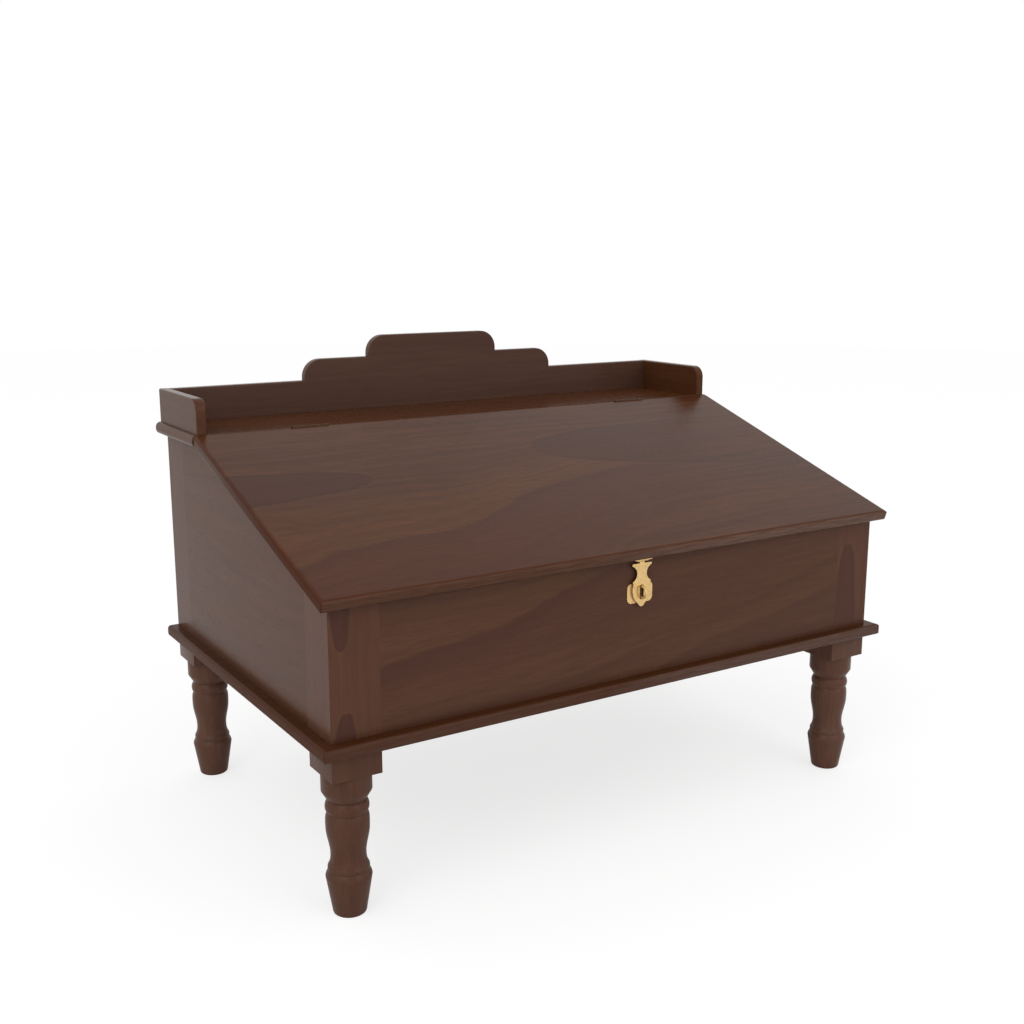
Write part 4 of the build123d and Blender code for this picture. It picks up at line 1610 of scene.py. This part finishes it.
@dataclass
class SlottedScrews:
    """Slotted countersunk screws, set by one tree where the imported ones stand."""

    bronze: bpy.types.Material
    brass: bpy.types.Material
    sizes: DeskSizes
    hinge_screw: float = 7.0 * MM
    leaf_screw: float = 8.0 * MM
    shank_radius: float = 1.0 * MM
    head_radius: float = 1.9 * MM
    head_height: float = 0.8 * MM
    slot_width: float = 0.5 * MM
    slot_depth: float = 0.4 * MM
    facets: int = 40
    seed: int = 7

    def seats(self, node: str, outward: Vector) -> list[Vector]:
        """Find the middle of each packed screw's head.

        Args:
            node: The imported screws' name.
            outward: The way the heads face.

        Returns:
            The heads' middles.
        """
        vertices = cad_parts[node].data.vertices
        points = sorted((vertex.co.copy() for vertex in vertices), key=lambda co: co.x)
        groups = [[points[0]]]
        for point in points[1:]:
            if point.x - groups[-1][-1].x > self.shank_radius:
                groups.append([])
            groups[-1].append(point)
        aside = Vector((1.0, 0.0, 0.0)).cross(outward)
        seats = []
        for group in groups:
            x = (group[0].x + group[-1].x) / 2
            reach = [point.dot(aside) for point in group]
            head = max(point.dot(outward) for point in group)
            seats.append(Vector((x, 0.0, 0.0)) + aside * (min(reach) + max(reach)) / 2 + outward * head)
        return seats

    def screw(self, w: TreeWriter, source: dict[str, Signal]) -> Signal:
        """Write one screw, turned from three points on its axis and cut by its slot.

        Args:
            w: The tree's writer.
            source: The tree's inputs.

        Returns:
            The screw's geometry, with its head's middle at the origin.
        """
        cutter_share, cutter_depth = 2.4, 2.0
        step = w.add("GeometryNodeInputIndex").outputs[0]
        head_share = w.calc("MAXIMUM", w.calc("SUBTRACT", step, 1.0), 0.0)
        shank = w.calc("SUBTRACT", source["Length"], source["Head Height"])
        up_shank = w.times(shank, w.calc("MINIMUM", step, 1.0))
        climbed = w.calc("ADD", up_shank, w.times(source["Head Height"], head_share))
        flare = w.calc("SUBTRACT", source["Head Radius"], source["Shank Radius"])
        radius = w.calc("ADD", w.times(flare, head_share), source["Shank Radius"])
        row = {"Count": 3, "Offset": (0.0, 0.0, MM)}
        points = w.add("GeometryNodeMeshLine", row, mode="OFFSET").outputs[0]
        height = w.point({2: w.calc("SUBTRACT", climbed, source["Length"])})
        line = w.add("GeometryNodeSetPosition", {"Geometry": points, "Position": height}).outputs[0]
        axis = w.add("GeometryNodeMeshToCurve", {"Mesh": line}).outputs[0]
        ring = {"Resolution": source["Facets"], "Radius": 1.0}
        profile = w.add("GeometryNodeCurvePrimitiveCircle", ring, mode="RADIUS").outputs[0]
        turning = {"Curve": axis, "Profile Curve": profile, "Fill Caps": True, "Scale": radius}
        across = w.times(source["Head Radius"], cutter_share)
        deep = w.times(source["Slot Depth"], cutter_depth)
        size = w.point({0: across, 1: source["Slot Width"], 2: deep})
        cutter = w.add("GeometryNodeMeshCube", {"Size": size}).outputs[0]
        lathe = w.add("GeometryNodeCurveToMesh", turning).outputs[0]
        cut = w.add("GeometryNodeMeshBoolean", {"Mesh 1": lathe, "Mesh 2": cutter}, operation="DIFFERENCE")
        return cut.outputs[0]

    def tree(self) -> bpy.types.NodeTree:
        """Build the tree that turns one screw, cuts its slot and sets it on every point.

        Returns:
            The geometry tree.
        """
        inputs = [
            Port("Geometry", Socket.GEOMETRY),
            Port("Outward", Socket.VECTOR),
            *numbers(Length=self.hinge_screw, Shank_Radius=self.shank_radius, Head_Radius=self.head_radius),
            *numbers(Head_Height=self.head_height, Slot_Width=self.slot_width, Slot_Depth=self.slot_depth),
            Port("Facets", Socket.COUNT, self.facets),
            Port("Seed", Socket.COUNT, self.seed),
            Port("Metal", Socket.MATERIAL),
        ]
        outputs = [Port("Geometry", Socket.GEOMETRY)]
        w, source, result = new_tree("slotted_screws", "GeometryNodeTree", inputs, outputs)
        facing = w.add("FunctionNodeAlignRotationToVector", {"Vector": source["Outward"]}, axis="Z")
        chance = {2: 0.0, 3: math.pi, "Seed": source["Seed"]}
        spin = w.add("FunctionNodeRandomValue", chance, data_type="FLOAT").outputs[1]
        setting = {"Points": source["Geometry"], "Instance": self.screw(w, source)}
        setting["Rotation"] = facing.outputs[0]
        copies = w.add("GeometryNodeInstanceOnPoints", setting).outputs[0]
        turning = {"Instances": copies, "Rotation": w.point({2: spin}), "Local Space": True}
        spun = w.add("GeometryNodeRotateInstances", turning).outputs[0]
        real = w.add("GeometryNodeRealizeInstances", {"Geometry": spun}).outputs[0]
        plated = w.add("GeometryNodeSetMaterial", {"Geometry": real, "Material": source["Metal"]})
        w.send(result, Geometry=plated.outputs[0])
        return w.tree

    def build(self) -> None:
        """Set the three sets of screws and let each stand for its packed one."""
        tree = self.tree()
        slope = self.sizes.slope
        forward, backward = Vector((0.0, -1.0, 0.0)), Vector((0.0, 1.0, 0.0))
        under_lid = Vector((0.0, math.sin(slope), -math.cos(slope)))
        sets = (
            ScrewSet("shelf_hinge_screws", "carcass", "screw_metal", forward, self.hinge_screw, self.bronze),
            ScrewSet("lid_hinge_screws", "lid", "screw_metal", backward, self.hinge_screw, self.bronze),
            ScrewSet("hasp_leaf_screws", "lid", "brass", under_lid, self.leaf_screw, self.brass),
        )
        for index, group in enumerate(sets):
            seats = self.seats(group.node, group.outward)
            points = bpy.data.meshes.new("screw_seats")
            points.from_pydata([tuple(seat) for seat in seats], [], [])
            values = {
                "Outward": group.outward,
                "Length": group.length,
                "Shank Radius": self.shank_radius,
                "Head Radius": self.head_radius,
                "Head Height": self.head_height,
                "Slot Width": self.slot_width,
                "Slot Depth": self.slot_depth,
                "Facets": self.facets,
                "Seed": self.seed + index,
                "Metal": group.metal,
            }
            name = f"cut_{group.node}"
            screws = mesh_object(name, tidied(grown_mesh(name, points, tree, values)), group.metal)
            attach(screws, group.body)
            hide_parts(group.node)
            LOG.info("set %d screws for %s", len(seats), group.node)


@dataclass
class Hasp:
    """The brass hasp's pin under the lid's front edge, and the strap that hangs from it."""

    brass: bpy.types.Material
    strap_brass: bpy.types.Material
    strap_thickness: float = 1.2 * MM
    ease: float = 0.22 * MM
    barrel: float = 1.6 * MM
    bore: float = 0.85 * MM
    running_gap: float = 0.05 * MM
    knuckle: float = 5.5 * MM
    slot_reach: float = 4.5 * MM
    slot_radius: float = 2.2 * MM
    slot_drop: float = 29.0 * MM

    def knuckle_mesh(self, pin: Vector) -> bpy.types.Mesh:
        """Make the strap's knuckle round the pin, with eased ends.

        Args:
            pin: The pin's middle.

        Returns:
            The knuckle's mesh, in place.
        """
        start, end = pin.x - self.knuckle / 2, pin.x + self.knuckle / 2
        rim = self.barrel - self.ease
        outside = [(start + self.ease, self.barrel), (end - self.ease, self.barrel), (end, rim)]
        profile = [*outside, (end, self.bore), (start, self.bore), (start, rim)]
        return turned(profile, Matrix.Translation((0.0, pin.y, pin.z)))

    def outline(self) -> list[Point]:
        """List the strap's outline in metres: half widths, and heights from the pin.

        Returns:
            The outline's points.
        """
        neck = self.knuckle / 2 / MM
        shoulder, waist, hip = (10.6, -4.9), (5.3, -12.1), (10.1, -19.2)
        notch, belly, chin = (9.1, -20.6), (10.1, -26.9), (7.3, -35.6)
        half = [(neck, -0.4), (neck, -2.9), (shoulder[0], -2.9), shoulder]
        half += through(shoulder, waist, hip, steps=20)
        half += [notch, *through(notch, belly, chin, steps=16), (1.9, -41.5), (1.0, -42.0)]
        mirrored = [(-x, y) for x, y in reversed(half)]
        return [(x * MM, y * MM) for x, y in half + mirrored]

    def slot(self) -> list[Point]:
        """List the outline of the strap's slot.

        Returns:
            The outline's points.
        """
        top, bottom = self.slot_reach - self.slot_drop, -self.slot_reach - self.slot_drop
        upper = arc((0.0, top), self.slot_radius, 0.0, 180.0, steps=12)
        return upper + arc((0.0, bottom), self.slot_radius, 180.0, FULL_TURN, steps=12)

    def strap(self, pin: Vector) -> None:
        """Make the strap with its knuckle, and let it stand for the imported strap.

        Args:
            pin: The pin's middle.
        """
        face = Matrix.Translation((pin.x, pin.y + self.strap_thickness / 2, pin.z))
        upright = face @ Matrix.Rotation(QUARTER_TURN, 4, "X")
        plate = flat_plate([self.outline(), self.slot()], self.strap_thickness, self.ease, upright)
        whole = joined("hasp_strap_brass", [plate, self.knuckle_mesh(pin)])
        strap = mesh_object("hasp_strap_brass", whole, self.strap_brass)
        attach(strap, "hasp")
        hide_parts("hasp_strap")

    def build(self) -> None:
        """Make the strap and the pin."""
        low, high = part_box("hasp_pin")
        pin = (low + high) / 2
        self.strap(pin)
        rod = self.bore - self.running_gap
        end = rod - self.ease
        profile = [(low.x, 0.0), (low.x, end), (low.x + self.ease, rod)]
        profile += [(high.x - self.ease, rod), (high.x, end), (high.x, 0.0)]
        mesh = turned(profile, Matrix.Translation((0.0, pin.y, pin.z)))
        pin_piece = mesh_object("hasp_pin_brass", mesh, self.brass)
        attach(pin_piece, "lid")
        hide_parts("hasp_pin")
        LOG.info("made the hasp strap and its pin")


@dataclass
class Staple:
    """The staple and the plate that it is driven through."""

    look: MetalFinish
    plate_radius: float = 4.6 * MM
    ease: float = 0.3 * MM
    wire: float = 1.1 * MM
    half_height: float = 5.0 * MM
    bend_steps: int = 24
    roundness: int = 5

    def plate(self) -> None:
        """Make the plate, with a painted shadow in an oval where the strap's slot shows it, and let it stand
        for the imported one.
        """
        low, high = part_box("staple_plate")
        middle = (low + high) / 2
        upright = Matrix.Translation((middle.x, high.y, middle.z)) @ Matrix.Rotation(QUARTER_TURN, 4, "X")
        outline = rounded_rectangle(high.x - low.x, high.z - low.z, self.plate_radius)
        # Painted shadow on the plate where the strap's slot shows it.
        painted_shade_oval = PaintedShadeOval((middle.x / MM, middle.z / MM))
        mesh = flat_plate([outline], high.y - low.y, self.ease, upright)
        look = replace(self.look, name="plate_brass", painted_shade_oval=painted_shade_oval)
        plate = mesh_object("staple_plate_brass", mesh, look.build())
        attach(plate, "carcass")
        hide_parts("staple_plate")

    def build(self) -> None:
        """Make the plate and the bent wire."""
        self.plate()
        low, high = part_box("staple")
        centre = (low + high) / 2
        bend = (low.y + self.wire + self.half_height, 0.0)
        path = [(high.y, self.half_height)]
        path += arc(bend, self.half_height, 90.0, 270.0, self.bend_steps)
        path += [(high.y, -self.half_height)]
        curve = poly_curve("staple_wire", [(centre.x, y, centre.z + z) for y, z in path])
        curve.bevel_depth = self.wire
        curve.bevel_resolution = self.roundness
        curve.use_fill_caps = True
        mesh = tidied(settled_mesh(placed("staple_wire", curve), "staple_brass"))
        wire = mesh_object("staple_brass", mesh, self.look.build())
        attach(wire, "carcass")
        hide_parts("staple")
        LOG.info("made the staple and its plate")


# Studio


@dataclass
class Studio:
    """Pale floor, soft lamps and a white surround."""

    floor_colour: Colour = (0.90, 0.90, 0.90)
    seen_colour: Colour = (0.36, 0.36, 0.36)
    seen_glow: float = 0.70
    sky_strength: float = 0.80
    floor_radius: float = 6.0
    floor_sides: int = 96
    lamp_size: float = 1.6
    aim: tuple[float, float, float] = (0.0, 0.0, 0.25)

    def floor(self) -> None:
        """Lay the floor, which glows a little where the camera sees it."""
        mesh = bpy.data.meshes.new("studio_floor")
        work = bmesh.new()
        bmesh.ops.create_circle(work, cap_ends=True, radius=self.floor_radius, segments=self.floor_sides)
        work.to_mesh(mesh)
        work.free()
        material = bpy.data.materials.new("studio_floor")
        w = emptied(material)
        path = w.add("ShaderNodeLightPath")
        plain = w.add("ShaderNodeBsdfDiffuse", {"Color": with_alpha(self.floor_colour)})
        quiet = w.add("ShaderNodeBsdfDiffuse", {"Color": with_alpha(self.seen_colour)})
        glow = w.add("ShaderNodeEmission", {"Strength": self.seen_glow})
        seen = w.add("ShaderNodeAddShader", {0: quiet.outputs[0], 1: glow.outputs[0]})
        sides = {0: path.outputs["Is Camera Ray"], 1: plain.outputs[0], 2: seen.outputs[0]}
        w.shown(w.add("ShaderNodeMixShader", sides))
        mesh_object("studio_floor", mesh, material)

    def sky(self) -> None:
        """Set the surround: white where it is seen or mirrored, softer where it lights."""
        world = bpy.data.worlds.new("studio_sky")
        bpy.context.scene.world = world
        w = emptied(world)
        path = w.add("ShaderNodeLightPath").outputs
        through_it = w.calc("MAXIMUM", path["Is Glossy Ray"], path["Is Transmission Ray"])
        seen = w.calc("MAXIMUM", path["Is Camera Ray"], through_it)
        strength = w.calc("ADD", w.times(seen, 1.0 - self.sky_strength), self.sky_strength)
        background = {"Color": (1.0, 1.0, 1.0, 1.0), "Strength": strength}
        w.shown(w.add("ShaderNodeBackground", background), "ShaderNodeOutputWorld")

    def lamp(self, name: str, place: Vector, power: float) -> None:
        """Hang one square lamp.

        Args:
            name: The lamp's name.
            place: Where it hangs.
            power: Its power in watts.
        """
        data = bpy.data.lights.new(name, "AREA")
        data.shape = "SQUARE"
        data.size = self.lamp_size
        data.energy = power
        made = placed(name, data)
        made.location = place
        made.rotation_mode = "QUATERNION"
        made.rotation_quaternion = (Vector(self.aim) - place).to_track_quat("-Z", "Y")

    def build(self) -> None:
        """Make the studio."""
        self.floor()
        self.sky()
        self.lamp("lamp_left", Vector((-1.9, -1.2, 1.9)), 16.0)
        self.lamp("lamp_front", Vector((0.9, -2.4, 1.5)), 10.0)
        bpy.context.scene.view_settings.view_transform = "Standard"
        LOG.info("set up the studio")


@dataclass
class ViewCamera:
    """The camera of the reference view."""

    place: tuple[float, float, float] = (-0.6543, -1.0030, 0.5268)
    yaw: float = 32.5
    pitch: float = 12.0
    field_of_view: float = 45.0

    def build(self) -> None:
        """Make the camera and let the scene use it."""
        data = bpy.data.cameras.new("view_camera")
        data.sensor_fit = "AUTO"
        data.angle = math.radians(self.field_of_view)
        data.dof.use_dof = False
        made = placed("view_camera", data)
        made.location = self.place
        made.rotation_euler = (QUARTER_TURN - math.radians(self.pitch), 0.0, math.radians(-self.yaw))
        bpy.context.scene.camera = made
        LOG.info("set up the camera")


def main() -> None:
    """Build and dress the desk, then the studio and the camera."""
    logging.basicConfig(level=logging.INFO, format="%(name)s: %(message)s")
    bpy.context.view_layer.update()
    sizes = DeskSizes.read()
    LOG.info("lid slope %.2f degrees", math.degrees(sizes.slope))
    soft_brass = MetalFinish("soft_brass", (0.80, 0.55, 0.24), (0.50, 0.31, 0.12), 0.24)
    worn_brass = MetalFinish("worn_brass", (0.80, 0.57, 0.27), (0.62, 0.43, 0.20), 0.58)
    dark_bronze = MetalFinish("dark_bronze", (0.072, 0.033, 0.018), (0.052, 0.024, 0.013), 0.42, 0.8)
    brass, bronze = soft_brass.build(), dark_bronze.build()
    Casework(sizes).build()
    Gallery().build()
    WritingLid(sizes).build()
    TurnedLegs(sizes).build()
    # The strap's sides get painted shade, standing in for the dark gap between the strap and the plate behind
    # it.
    Hasp(brass, replace(soft_brass, name="strap_brass", side=0.85).build()).build()
    Staple(worn_brass).build()
    for side in ("left", "right"):
        for piece in ("shelf_leaf", "lid_leaf", "pin"):
            dress(f"hinge_{side}_{piece}", bronze)
    dress("hasp_leaf", brass)
    SlottedScrews(bronze, brass, sizes).build()
    Studio().build()
    ViewCamera().build()
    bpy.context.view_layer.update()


if __name__ == "__main__":
    main()
